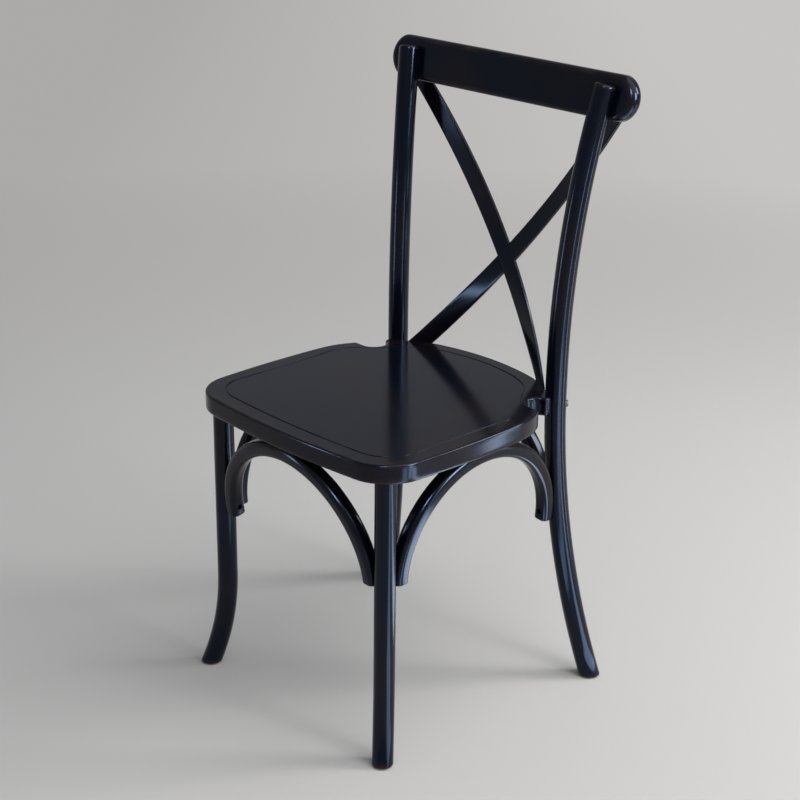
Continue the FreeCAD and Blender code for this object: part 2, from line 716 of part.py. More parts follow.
def build():
    """Every piece by name, as a list of its solids."""
    pieces = {}
    legs = {side: front_leg_rod(s, front_radius) for side, s in SIDES.items()}
    fat_legs = {side: front_leg_rod(s, front_radius + glue_gap) for side, s in SIDES.items()}
    posts = {side: post_rod(s, post_radius) for side, s in SIDES.items()}
    fat_posts = {side: post_rod(s, post_radius + glue_gap) for side, s in SIDES.items()}

    end_screws, crown_screws = [], []
    end_holes, crown_holes = [], []
    for name, arch in arches.items():
        bar = arch.bar()
        bar = bar.cut(slab(seat_underside, seat_underside + arch_depth))
        neighbours = {"front": [fat_legs["left"], fat_legs["right"]],
                      "rear": [fat_posts["left"], fat_posts["right"]]}
        for cutter in neighbours.get(name) or [fat_legs[name], fat_posts[name]]:
            bar = bar.cut(cutter)
        for places, length, screws, holes in ((arch.end_screws(), arch_end_screw_length, end_screws, end_holes),
                                              (arch.crown_screws(), arch_crown_screw_length, crown_screws,
                                               crown_holes)):
            for head, way in places:
                screws.append(wood_screw(head, way, length, wood_screw_diameter, wood_screw_head_diameter,
                                         wood_screw_head_height))
                hole = screw_hole(head + way * wood_screw_head_height, way, length - wood_screw_head_height,
                                  wood_screw_diameter, wood_screw_head_diameter, arch_depth)
                holes.append(hole)
                bar = bar.cut(hole)
        pieces["arch_" + name] = [bar]
    pieces["arch_end_screws"] = end_screws
    pieces["arch_crown_screws"] = crown_screws

    rail = rail_blank()
    rail_screws, rail_caps, rail_holes = [], [], []
    for s in SIDES.values():
        for head, way in rail_screw_places(s):
            rail_screws.append(wood_screw(head, way, rail_screw_length, rail_screw_diameter,
                                          rail_screw_head_diameter, wood_screw_head_height))
            hole = screw_hole(head + way * wood_screw_head_height, way,
                              rail_screw_length - wood_screw_head_height, rail_screw_diameter,
                              rail_screw_head_diameter, rail_thickness)
            rail_holes.append(hole)
            face = head - way * rail_screw_recess
            cap = cylinder(rail_screw_head_diameter / 2, rail_screw_recess - 2 * screw_gap, face, way)
            dome = Part.makeCone(rail_cap_diameter / 2, rail_cap_diameter / 3, rail_cap_height,
                                 face - way * glue_gap, way * -1)
            rim = cylinder(rail_cap_diameter / 2, glue_gap, face - way * glue_gap, way)
            rail_caps.append(cap.fuse(rim).fuse(dome).removeSplitter())

    strip_solid, strip_fat = strip_blank(), strip_blank(glue_gap, 0.0, strip_thickness)
    keep = slab(seat_height - strip_seat_lap, rail_bottom + strip_rail_lap)
    mortise = slab(seat_height - strip_seat_lap - glue_gap, rail_bottom + strip_rail_lap + glue_gap)
    strip_a, fat_a = strip_solid.common(keep), strip_fat.common(mortise)
    strip_b, fat_b = mirrored(strip_a), mirrored(fat_a)
    behind = rear_half()
    lap = strip_blank(glue_gap, strip_thickness, strip_thickness)
    strip_a = strip_a.cut(mirrored(lap).common(behind))
    strip_b = strip_b.cut(lap.cut(behind))
    foot_screw, foot_hole = strip_screw(strip_screw_place(1 + strip_seat_lap / 2 / strip_drop), strip_screw_length)
    top_screw, top_hole = strip_screw(strip_screw_place(-strip_rail_lap / 2 / strip_drop), rail_strip_screw_length)
    cross_screw, cross_hole = strip_screw(cross_screw_place(), cross_screw_length)
    strip_holes = foot_hole.fuse(top_hole).fuse(cross_hole)
    pieces["cross_strip_front"] = [strip_a.cut(strip_holes)]
    pieces["cross_strip_rear"] = [strip_b.cut(mirrored(strip_holes))]
    pieces["strip_screws"] = [foot_screw, mirrored(foot_screw), top_screw, mirrored(top_screw), cross_screw]

    rail_holes += [top_hole, mirrored(top_hole)]
    for cutter in list(fat_posts.values()) + [fat_a, fat_b] + rail_holes:
        rail = rail.cut(cutter)
    pieces["crest_rail"] = [rail]
    pieces["crest_rail_screws"] = rail_screws
    pieces["crest_rail_caps"] = rail_caps

    sockets, glides = [], {}
    for side, s in SIDES.items():
        top = front_leg_axis(seat_underside, s)
        sockets.append(cylinder(leg_tenon_diameter / 2 + glue_gap, leg_tenon_length + glue_gap, top))
        tenon = cylinder(leg_tenon_diameter / 2, leg_tenon_length, top)
        bodies = {"front_leg_" + side: (legs[side].fuse(tenon).removeSplitter(), front_leg_axis),
                  "rear_post_" + side: (posts[side], post_axis)}
        for name, (body, axis) in bodies.items():
            if name.startswith("rear_post"):
                body = body.cut(bolt_hole(s))
            body = above_floor(body)
            foot = axis(glide_thickness, s)
            centre = plan(foot.x, foot.y)
            glide = cylinder(glide_diameter / 2, glide_thickness, centre)
            pin = cylinder(glide_pin_diameter / 2, glide_pin_length, plan(foot.x, foot.y, glide_thickness))
            body = body.cut(cylinder(glide_pin_diameter / 2 + screw_gap, glide_pin_length + screw_gap, centre
                                     + UP * glide_thickness))
            glides[name] = glide.fuse(pin).removeSplitter()
            for hole in end_holes + rail_holes:
                body = body.cut(hole)
            pieces[name] = [body]
    for name, glide in glides.items():
        pieces[name + "_glide"] = [glide]

    pieces["post_bolts"] = [post_bolt(s) for s in SIDES.values()]
    pieces["post_bolt_washers"] = [bolt_washer(s) for s in SIDES.values()]
    pieces["post_barrel_nuts"] = [barrel_nut(s) for s in SIDES.values()]
    cutters = sockets + crown_holes + list(fat_posts.values()) + [fat_a, fat_b, foot_hole, mirrored(foot_hole)]
    cutters += [bolt_hole(s) for s in SIDES.values()] + [nut_hole(s) for s in SIDES.values()]
    pieces["seat_board"] = [seat_board(cutters)]
    return pieces


def main():
    """Builds the chair, centres it on its footprint and writes each piece."""
    os.makedirs("parts", exist_ok=True)
    pieces = build()
    rail_box = pieces["crest_rail"][0].optimalBoundingBox(False, False)
    middle = (rail_box.YMax - seat_front_reach) / 2
    for name, solids in pieces.items():
        shape = solids[0] if len(solids) == 1 else Part.makeCompound(solids)
        shape.translate(Vec(0, -middle, 0))
        count = len(shape.Solids)
        print(f"{name}: {count} solids, {shape.Volume / 1000:.1f} cm3, valid {shape.isValid()}")
        shape.exportStep(f"parts/{name}.step")
    print(f"middle of the footprint: {middle:.3f} mm behind the front legs' line")


main()
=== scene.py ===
"""Cross back chair in black lacquer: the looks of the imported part, its studio and its camera.

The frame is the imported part's, in metres: +X is the sitter's left, -Y the front and +Z up. The wooden pieces
are worked out in mm from the line of the front legs, and Workshop.skin moves them into the frame.
"""

import logging
import math
from dataclasses import dataclass
from enum import Enum

import bpy
import numpy as np
from mathutils import Matrix, Vector


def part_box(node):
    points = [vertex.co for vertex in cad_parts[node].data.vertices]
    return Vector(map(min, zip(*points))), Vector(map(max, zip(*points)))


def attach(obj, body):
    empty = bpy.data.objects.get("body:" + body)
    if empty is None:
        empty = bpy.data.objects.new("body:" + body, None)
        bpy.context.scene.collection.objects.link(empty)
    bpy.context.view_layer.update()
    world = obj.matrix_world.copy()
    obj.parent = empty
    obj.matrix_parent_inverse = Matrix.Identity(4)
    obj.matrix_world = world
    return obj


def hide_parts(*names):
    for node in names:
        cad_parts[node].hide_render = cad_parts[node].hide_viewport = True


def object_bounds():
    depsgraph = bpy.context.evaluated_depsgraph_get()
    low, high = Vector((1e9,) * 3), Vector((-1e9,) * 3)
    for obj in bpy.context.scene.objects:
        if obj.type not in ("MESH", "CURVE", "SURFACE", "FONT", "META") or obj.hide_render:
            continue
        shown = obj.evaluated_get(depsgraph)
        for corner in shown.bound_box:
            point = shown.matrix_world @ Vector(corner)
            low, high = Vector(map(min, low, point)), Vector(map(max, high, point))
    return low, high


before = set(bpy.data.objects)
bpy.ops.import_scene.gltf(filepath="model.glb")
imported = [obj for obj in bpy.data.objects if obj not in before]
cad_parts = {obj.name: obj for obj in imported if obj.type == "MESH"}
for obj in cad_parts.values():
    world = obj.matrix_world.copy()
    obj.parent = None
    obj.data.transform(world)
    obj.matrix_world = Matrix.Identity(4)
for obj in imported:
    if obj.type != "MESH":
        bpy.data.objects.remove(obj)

log = logging.getLogger("cross_back_chair")
CAD_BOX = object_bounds()
SEAT_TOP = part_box("seat_board")[1][2]
DAYLIGHT = (0.70, 0.82, 1.0)
WHITE = (1.0, 1.0, 1.0)
MM_PER_M = 1000
NOISE_MIDDLE = 0.5
UP = np.array([0.0, 0.0, 1.0])
MIRROR = np.array([-1.0, 1.0, 1.0])

Pair = tuple[float, float]
Triple = tuple[float, float, float]
Colour = tuple[float, float, float, float]
Noise = tuple[float, ...]


class Side(Enum):
    """The sitter's left and right, with the sign of x."""

    LEFT = 1
    RIGHT = -1


class Sum:
    """A shader value on which ordinary arithmetic adds Math nodes."""

    def __init__(self, nodes: "NodeBook", socket: bpy.types.NodeSocket | None) -> None:
        """Keeps the book that makes nodes and the socket that holds the value."""
        self.nodes, self.socket = nodes, socket

    def _math(self, operation: str, first: object, second: object, clamp: bool = False) -> "Sum":
        """One Math node, from its operation, two values or links, and whether it clamps to 0..1."""
        settings = {"operation": operation, "use_clamp": clamp}
        return self.nodes.add("ShaderNodeMath", settings, {0: first, 1: second})

    def __add__(self, other: object) -> "Sum":
        """self + other."""
        return self._math("ADD", self, other)

    def __radd__(self, other: object) -> "Sum":
        """other + self."""
        return self._math("ADD", other, self)

    def __sub__(self, other: object) -> "Sum":
        """self - other."""
        return self._math("SUBTRACT", self, other)

    def __rsub__(self, other: object) -> "Sum":
        """other - self."""
        return self._math("SUBTRACT", other, self)

    def __mul__(self, other: object) -> "Sum":
        """self * other."""
        return self._math("MULTIPLY", self, other)

    def __rmul__(self, other: object) -> "Sum":
        """other * self."""
        return self._math("MULTIPLY", other, self)

    def clamped(self) -> "Sum":
        """The value kept between 0 and 1."""
        return self._math("ADD", self, 0.0, clamp=True)


class NodeBook:
    """The node tree of one material or world, and the one way that nodes are added to it."""

    def __init__(self, tree: bpy.types.NodeTree) -> None:
        """Empties the tree."""
        self.tree = tree
        tree.nodes.clear()

    @classmethod
    def blank(cls, name: str) -> tuple[bpy.types.Material, "NodeBook"]:
        """A new material with nothing in its node tree.

        Args:
            name: Its name.

        Returns:
            The material and its book.
        """
        made = bpy.data.materials.new(name)
        made.use_nodes = True
        return made, cls(made.node_tree)

    def add(self, kind: str, settings: dict | None = None, inputs: dict | None = None,
            output: str | int = 0) -> Sum:
        """Adds a node of any type.

        Args:
            kind: The node's type name.
            settings: Properties, set first.
            inputs: Values or links by socket name or number.
            output: The socket to return.

        Returns:
            The chosen output, or an empty value if the node has none.
        """
        node = self.tree.nodes.new(kind)
        for name, value in (settings or {}).items():
            setattr(node, name, value)
        for key, value in (inputs or {}).items():
            if isinstance(value, Sum):
                self.tree.links.new(value.socket, node.inputs[key])
            else:
                node.inputs[key].default_value = value
        return Sum(self, node.outputs[output] if node.outputs else None)

    def surface(self, bump: float, relief: Sum, inputs: dict) -> None:
        """Ends a material with a Principled shader over a bump.

        Args:
            bump: The bump's strength.
            relief: Its height in metres.
            inputs: The shader's other values or links, by name.
        """
        normal = self.add("ShaderNodeBump", {}, {"Strength": bump, "Distance": 1.0, "Height": relief})
        shader = self.add("ShaderNodeBsdfPrincipled", {}, {**inputs, "Normal": normal})
        self.add("ShaderNodeOutputMaterial", {}, {"Surface": shader})

    def here(self) -> Sum:
        """The place on the object."""
        return self.add("ShaderNodeTexCoord", output="Object")

    def blend(self, share: object, first: object, second: object) -> Sum:
        """The first colour where the share is 0, and the second where it is 1."""
        return self.add("ShaderNodeMix", {"data_type": "RGBA"}, {0: share, 6: first, 7: second}, 2)

    def spread(self, value: Sum, band: Pair) -> Sum:
        """A value stretched so that the band's two values become 0 and 1."""
        return self.add("ShaderNodeMapRange", {}, {"Value": value, "From Min": band[0], "From Max": band[1]})

    def noise(self, place: Sum, scale: float, detail: float, roughness: float, *band: float) -> Sum:
        """Fractal noise, stretched where it comes with a band.

        Args:
            place: Where it is looked up.
            scale: Its scale.
            detail: Its number of octaves.
            roughness: How much the finer octaves count.
            band: Nothing, or the two values that become 0 and 1.

        Returns:
            The noise.
        """
        inputs = {"Vector": place, "Scale": scale, "Detail": detail, "Roughness": roughness}
        made = self.add("ShaderNodeTexNoise", {}, inputs, "Fac")
        return self.spread(made, band) if band else made


@dataclass(frozen=True)
class Lacquer:
    """Black lacquer with a blue cast over bent beech: satin gloss, faint grain, and edges rubbed brown.

    A band holds the values that become 0 and 1. A noise holds its scale, detail and roughness, and may go on
    with its band. Shares tell how much each thing counts.
    """

    name: str = "black_lacquer"
    colour: Colour = (0.0022, 0.0031, 0.0075, 1.0)
    warm: Colour = (0.0100, 0.0050, 0.0048, 1.0)
    rubbed: Colour = (0.055, 0.028, 0.017, 1.0)
    cast: Colour = (0.53, 0.69, 1.0, 1.0)
    index: float = 1.34
    coat_weight: float = 0.06
    coat_roughness: float = 0.08
    coat_index: float = 1.35
    stretch: Triple = (4.0, 70.0, 70.0)
    fibres: Noise = (9.0, 6.0, 0.62)
    pores: Noise = (36.0, 3.0, 0.5, 0.58, 0.74)
    clouds: Noise = (5.0, 4.0, 0.5)
    peel: Noise = (120.0, 1.5, 0.4)
    specks: Noise = (700.0, 2.0, 0.5, 0.70, 0.80)
    patches: Noise = (22.0, 4.0, 0.6, 0.42, 0.70)
    foot_band: Pair = (0.008, 0.003)
    foot_fibre_band: Pair = (0.44, 0.60)
    fibre_band: Pair = (0.68, 0.82)
    painted_seat_shade_band: Pair = (0.12, 0.34)
    painted_seat_shade_top_band: Pair = (SEAT_TOP - 0.0005, SEAT_TOP - 0.006)
    warm_band: Pair = (0.50, 0.70)
    edge_share: float = 0.4
    fibre_share: float = 0.06
    painted_seat_shade_share: float = 0.10
    roughness: float = 0.13
    rough_shares: tuple[float, ...] = (0.06, 0.04, 0.03, 0.08, 0.15)
    bump: float = 0.6
    peel_m: float = 0.000016
    grain_m: float = 0.000012

    def material(self) -> bpy.types.Material:
        """Builds the material on the place in the wood, so that the fibres follow each bend.

        Wear is edges x patches, plus feet x fibres, plus some of the fibres. The black grows warm where the
        clouds are high, a random tone, and sooner under the seat, where the warmer tone is painted shade.
        Clouds, fibres, pores, specks and wear roughen it.

        Returns:
            The material.
        """
        made, book = NodeBook.blank(self.name)
        wood = book.add("ShaderNodeAttribute", {"attribute_name": "grain"}, output="Vector")
        edge = book.add("ShaderNodeAttribute", {"attribute_name": "rubbed"}, output="Fac")
        here = book.here()
        along = book.add("ShaderNodeMapping", {}, {"Vector": wood, "Scale": self.stretch})
        height = book.add("ShaderNodeSeparateXYZ", {}, {0: here}, "Z")
        fibres, pores = book.noise(along, *self.fibres), book.noise(along, *self.pores)
        clouds, peel, specks, patches = (
            book.noise(here, *noise) for noise in (self.clouds, self.peel, self.specks, self.patches))
        feet = book.spread(height, self.foot_band) * book.spread(fibres, self.foot_fibre_band)
        thin = book.spread(fibres, self.fibre_band) * self.fibre_share
        wear = (edge * patches * self.edge_share + feet + thin).clamped()
        # painted shade: the lacquer is drawn warmer under the seat, from low on the legs up to the seat's top
        painted_seat_shade = book.spread(height, self.painted_seat_shade_band) * book.spread(height, self.painted_seat_shade_top_band)
        warm_tone_and_seat_shade = book.spread(clouds + painted_seat_shade * self.painted_seat_shade_share, self.warm_band)
        rough = self.roughness
        for share, value in zip(self.rough_shares, (clouds - NOISE_MIDDLE, fibres, pores, specks, wear)):
            rough = rough + value * share
        book.surface(self.bump, peel * self.peel_m + fibres * self.grain_m - pores * self.grain_m, {
            "Base Color": book.blend(wear, book.blend(warm_tone_and_seat_shade, self.colour, self.warm), self.rubbed),
            "Roughness": rough.clamped(), "IOR": self.index, "Specular Tint": self.cast,
            "Coat Weight": self.coat_weight, "Coat Roughness": self.coat_roughness,
            "Coat IOR": self.coat_index})
        return made


@dataclass(frozen=True)
class DarkenedSteel:
    """Darkened fasteners with a little bare steel in their fine scratches."""

    name: str = "darkened_steel"
    dark: Colour = (0.05, 0.047, 0.045, 1.0)
    bare: Colour = (0.34, 0.32, 0.30, 1.0)
    metallic: float = 0.9
    stretch: Triple = (1.0, 1.0, 14.0)
    scratches: Noise = (260.0, 5.0, 0.5)
    blotches: Noise = (500.0, 3.0, 0.5)
    worn_band: Pair = (0.55, 0.72)
    worn_share: float = 0.6
    roughness: float = 0.34
    blotch_rough: float = 0.22
    worn_gloss: float = 0.08
    bump: float = 0.4
    scratch_m: float = 0.00003

    def material(self) -> bpy.types.Material:
        """Builds the material: where the scratches are high, the steel is bare and a little glossier.

        Returns:
            The material.
        """
        made, book = NodeBook.blank(self.name)
        here = book.here()
        upright = book.add("ShaderNodeMapping", {}, {"Vector": here, "Scale": self.stretch})
        scratches = book.noise(upright, *self.scratches)
        worn = book.spread(scratches, self.worn_band)
        blotches = book.noise(here, *self.blotches)
        book.surface(self.bump, scratches * self.scratch_m, {
            "Base Color": book.blend(worn * self.worn_share, self.dark, self.bare), "Metallic": self.metallic,
            "Roughness": (self.roughness + blotches * self.blotch_rough - worn * self.worn_gloss).clamped()})
        return made


@dataclass(frozen=True)
class ScuffedNylon:
    """Black nylon of the glides and caps, scuffed and finely grained."""

    name: str = "scuffed_nylon"
    colour: Colour = (0.022, 0.022, 0.024, 1.0)
    scuffed: Colour = (0.10, 0.095, 0.09, 1.0)
    skin: Noise = (1800.0, 2.0, 0.5)
    scuffs: Noise = (160.0, 5.0, 0.65, 0.58, 0.75)
    scuff_share: float = 0.5
    roughness: float = 0.46
    scuff_rough: float = 0.2
    skin_rough: float = 0.1
    bump: float = 0.5
    skin_m: float = 0.00004

    def material(self) -> bpy.types.Material:
        """Builds the material: a grained skin that is paler and duller in its scuffs.

        Returns:
            The material.
        """
        made, book = NodeBook.blank(self.name)
        here = book.here()
        skin, scuffs = book.noise(here, *self.skin), book.noise(here, *self.scuffs)
        uneven = (skin - NOISE_MIDDLE) * self.skin_rough
        rough = (self.roughness + scuffs * self.scuff_rough + uneven).clamped()
        colour = book.blend(scuffs * self.scuff_share, self.colour, self.scuffed)
        book.surface(self.bump, skin * self.skin_m, {"Base Color": colour, "Roughness": rough})
        return made


@dataclass(frozen=True)
class PaleFloor:
    """A plain pale floor that fades into a backdrop with painted light, lighter towards one side, and then the
    surround.
    """

    name: str = "pale_floor"
    colour: Colour = (0.62, 0.61, 0.595, 1.0)
    roughness: float = 0.85
    specular: float = 0.1
    fades: Pair = (1.2, 3.2)
    painted_light_levels: Pair = (0.66, 0.92)
    painted_light_way: Triple = (0.69, 0.724, 0.0)
    painted_light_span: Pair = (-1.2, 1.2)
    backdrop_fades: Pair = (8.0, 26.0)
    surround: Colour = (0.30, 0.305, 0.32, 1.0)

    def material(self) -> bpy.types.Material:
        """Builds the material: lit near the chair, and glowing further away where the camera or a reflection
        sees it. The backdrop's level grows with the place's part in one direction, as painted light.

        Returns:
            The material.
        """
        made, book = NodeBook.blank(self.name)
        here = book.here()
        away = book.add("ShaderNodeVectorMath", {"operation": "LENGTH"}, {0: here}, "Value")
        along = {0: here, 1: self.painted_light_way}
        along = book.add("ShaderNodeVectorMath", {"operation": "DOT_PRODUCT"}, along, "Value")
        lit = book.add("ShaderNodeBsdfPrincipled", {}, {
            "Base Color": self.colour, "Roughness": self.roughness, "Specular IOR Level": self.specular})
        # painted light: the backdrop is drawn dimmer on one side and paler on the other
        dim, pale = ((*(level * part for part in self.colour[:3]), 1.0) for level in self.painted_light_levels)
        near = book.blend(book.spread(along, self.painted_light_span), dim, pale)
        far = book.blend(book.spread(away, self.backdrop_fades), near, self.surround)
        backdrop = book.add("ShaderNodeEmission", {}, {"Color": far})
        camera, glossy, through = (book.add("ShaderNodeLightPath", output=f"Is {ray} Ray")
                                   for ray in ("Camera", "Glossy", "Transmission"))
        share = book.spread(away, self.fades) * (camera + glossy + through).clamped()
        shader = book.add("ShaderNodeMixShader", {}, {0: share, 1: lit, 2: backdrop})
        book.add("ShaderNodeOutputMaterial", {}, {"Surface": shader})
        return made


@dataclass(frozen=True)
class Loops:
    """Closed loops of points that make one skin when they are joined in order and closed at both ends.

    points is loops x places x 3, grain holds the place of each point in the wood, along the fibres first,
    and edge is 1 on the edges that hands and feet rub.
    """

    points: np.ndarray
    grain: np.ndarray
    edge: np.ndarray

    def on(self, side: Side) -> "Loops":
        """Loops made for the left, on either side of the chair: x changes its sign on the right."""
        return Loops(self.points * [side.value, 1, 1], self.grain, self.edge)


class Workshop:
    """Makes the meshes: loops become skins, and cutters take away what a tool would."""

    BORE_SIDES = 48
    STEEP = 0.9
    SHARP = math.radians(40)

    def __init__(self, front_reach: float, lacquer: bpy.types.Material) -> None:
        """Finds the front legs' line, front_reach in mm behind the seat's edge, and keeps the lacquer."""
        self.line = Vector((0.0, CAD_BOX[0][1] + front_reach / MM_PER_M, 0.0))
        self.lacquer = lacquer

    def skin(self, name: str, loops: Loops) -> bpy.types.Object:
        """Joins neighbouring loops by quads and closes both ends by a fan to the loop's middle.

        The faces are turned over if the volume, the sum of a . (b x c) over the triangles, is negative.

        Args:
            name: The new object's name.
            loops: The loops, in mm from the front legs' line.

        Returns:
            The object, placed in the frame.
        """
        rows, columns = loops.edge.shape

        def with_ends(values: np.ndarray) -> np.ndarray:
            """The values of all places, and last those of the middles of both end loops."""
            middles = values[[0, -1]].mean(axis=1)
            return np.concatenate([values.reshape(rows * columns, -1), middles.reshape(2, -1)])

        points = with_ends(loops.points) / MM_PER_M + np.array(self.line)
        here = np.arange(rows * columns).reshape(rows, columns)
        after = np.roll(here, -1, axis=1)
        quads = np.stack([here[:-1], after[:-1], after[1:], here[1:]], axis=-1).reshape(-1, 4)
        low = np.stack([after[0], here[0], np.full(columns, rows * columns)], axis=-1)
        high = np.stack([here[-1], after[-1], np.full(columns, rows * columns + 1)], axis=-1)
        triangles = np.concatenate([quads[:, [0, 1, 2]], quads[:, [0, 2, 3]], low, high])
        a, b, c = points[triangles].transpose(1, 0, 2)
        faces = [quads, low, high]
        if (a * np.cross(b, c)).sum() < 0:
            faces = [part[::-1, ::-1] for part in faces[::-1]]
        corners = np.concatenate([part.ravel() for part in faces])
        mesh = bpy.data.meshes.new(name)
        mesh.from_pydata(points, [], sum((part.tolist() for part in faces), []))
        for attribute, kind, key, values in (("grain", "FLOAT_VECTOR", "vector", loops.grain / MM_PER_M),
                                             ("rubbed", "FLOAT", "value", loops.edge)):
            data = mesh.attributes.new(attribute, kind, "CORNER").data
            data.foreach_set(key, with_ends(values)[corners].ravel())
        mesh.validate()
        return added(name, mesh)

    def bore(self, centre: np.ndarray, way: np.ndarray, diameter: float, depth: float) -> bpy.types.Object:
        """A round cutter: a ring of points r (cos a, sin a) square to its way, at both its ends.

        Args:
            centre: The middle of the end that it starts from, in mm.
            way: Where it goes from there.
            diameter: Its diameter in mm.
            depth: Its length in mm.

        Returns:
            The cutter.
        """
        way = unit(way)
        across = unit(np.cross(way, UP if abs(way[2]) < self.STEEP else [1.0, 0.0, 0.0]))
        angle = np.linspace(0, 2 * np.pi, self.BORE_SIDES, endpoint=False)[None, :, None]
        ring = (np.cos(angle) * across + np.sin(angle) * np.cross(way, across)) * diameter / 2
        points = centre + ring + np.array([0.0, depth])[:, None, None] * way
        return self.skin("bore", Loops(points, np.zeros_like(points), np.zeros(points.shape[:2])))

    def cut(self, piece: bpy.types.Object, cutters: list[bpy.types.Object]) -> None:
        """Takes the cutters out of a piece and removes them.

        Args:
            piece: The piece.
            cutters: Closed meshes that may not touch each other.
        """
        for cutter in cutters:
            step = piece.modifiers.new("cut", "BOOLEAN")
            step.operation, step.solver, step.object = "DIFFERENCE", "EXACT", cutter
            made = bpy.data.meshes.new_from_object(piece.evaluated_get(bpy.context.evaluated_depsgraph_get()))
            piece.modifiers.clear()
            waste = [piece.data, cutter.data]
            piece.data = made
            bpy.data.objects.remove(cutter)
            for mesh in waste:
                bpy.data.meshes.remove(mesh)

    def make(self, name: str, node: str, loops: Loops, cutters: list[bpy.types.Object]) -> None:
        """Makes a piece, smooths it, lacquers it and puts it in the place of its CAD node.

        Args:
            name: Its name.
            node: The node that it stands for.
            loops: Its loops.
            cutters: What is taken out of it.
        """
        piece = self.skin(name, loops)
        self.cut(piece, cutters)
        mesh = piece.data
        mesh.name = piece.name
        mesh.polygons.foreach_set("use_smooth", np.ones(len(mesh.polygons), bool))
        mesh.set_sharp_from_angle(angle=self.SHARP)
        mesh.materials.clear()
        mesh.materials.append(self.lacquer)
        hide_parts(node)
        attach(piece, "root")
        log.info("%s: %d faces", piece.name, len(mesh.polygons))


def added(name: str, data: bpy.types.ID, axes: tuple = (), place: object = None) -> bpy.types.Object:
    """Adds an object to the scene.

    Args:
        name: Its name.
        data: Its mesh, light or camera.
        axes: The directions of its own x, y and z, if it is turned.
        place: Where it then stands, in metres.

    Returns:
        The object.
    """
    made = bpy.data.objects.new(name, data)
    bpy.context.scene.collection.objects.link(made)
    if axes:
        pose = Matrix(np.column_stack(axes).tolist()).to_4x4()
        pose.translation = place
        made.matrix_world = pose
    return made


def unit(vectors: np.ndarray) -> np.ndarray:
    """Vectors of length 1: each is divided by its own length."""
    return vectors / np.linalg.norm(vectors, axis=-1, keepdims=True)


def pointing(angle: np.ndarray) -> np.ndarray:
    """Directions in a plane: (cos a, sin a)."""
    return np.stack([np.cos(angle), np.sin(angle)], -1)


def wrapped(turn: float) -> float:
    """A turn in degrees brought between -180 and 180: (turn + 180) mod 360 - 180."""
    return (turn + 180) % 360 - 180


def eased(depth: np.ndarray, radius: float) -> np.ndarray:
    """How far a rounded edge stands back at a depth: radius - sqrt(radius^2 - (radius - depth)^2)."""
    return radius - np.sqrt(radius ** 2 - np.clip(radius - depth, 0.0, radius) ** 2)


def bend_radius(reach: float, offset: float) -> float:
    """The radius of an arc that stands off by offset after its reach: (reach^2 + offset^2) / (2 offset)."""
    return (reach ** 2 + offset ** 2) / (2 * offset)


def bend_offset(length: np.ndarray, reach: float, offset: float) -> np.ndarray:
    """How far that arc has left its line after a length: radius - sqrt(radius^2 - length^2)."""
    radius = bend_radius(reach, offset)
    return radius - np.sqrt(radius ** 2 - np.clip(length, 0.0, None) ** 2)


def carried(centres: np.ndarray, ways: np.ndarray, planes: np.ndarray, profile: np.ndarray,
            across: np.ndarray, edge: np.ndarray) -> Loops:
    """A profile carried along a path, each loop slid along the path's way into its own plane.

    With c on the path, T its way, q the profile's point from c and n the plane's normal, the point is
    c + q - T (q.n) / (T.n). Its place in the wood is the path's length up to it, and q.

    Args:
        centres: The path.
        ways: Its tangents.
        planes: The normals of the planes in which the loops end up.
        profile: Loops x places x 2, in the across direction and in the one square to it and the path.
        across: The across direction of each loop.
        edge: Loops x places, 1 where hands and feet rub.

    Returns:
        The loops.
    """
    up = unit(np.cross(ways, across))
    flat = profile[..., :1] * across[:, None] + profile[..., 1:] * up[:, None]
    slide = (flat * planes[:, None]).sum(-1) / (ways * planes).sum(-1)[:, None]
    points = centres[:, None] + flat - slide[..., None] * ways[:, None]
    run = np.concatenate([[0.0], np.cumsum(np.linalg.norm(np.diff(centres, axis=0), axis=1))])
    return Loops(points, np.concatenate([(run[:, None] - slide)[..., None], profile], axis=-1), edge)


def rounded_rectangle(width: np.ndarray, depth: np.ndarray, corner: np.ndarray, arc_steps: int = 9,
                      side_steps: int = 3) -> np.ndarray:
    """Loops of a rectangle with rounded corners: a corner's centre plus corner (cos a, sin a), four times.

    Args:
        width: A width for each loop.
        depth: A depth for each.
        corner: A radius for each.
        arc_steps: Steps in a corner.
        side_steps: Steps along a side.

    Returns:
        Loops x places x 2.
    """
    quarter = np.linspace(0, np.pi / 2, arc_steps + 1)
    angles = np.concatenate([quarter + k * np.pi / 2 for k in range(4)])
    corners = np.repeat([(1, 1), (-1, 1), (-1, -1), (1, -1)], arc_steps + 1, axis=0)
    core = np.stack([width / 2 - corner, depth / 2 - corner], -1)[:, None] * corners
    arcs = core + corner[:, None, None] * pointing(angles)
    arcs = arcs.reshape(len(arcs), 4, arc_steps + 1, 2)
    shares = (np.arange(1, side_steps) / side_steps)[:, None]
    sides = arcs[:, :, -1:] * (1 - shares) + np.roll(arcs, -1, axis=1)[:, :, :1] * shares
    return np.concatenate([arcs, sides], axis=2).reshape(len(arcs), -1, 2)


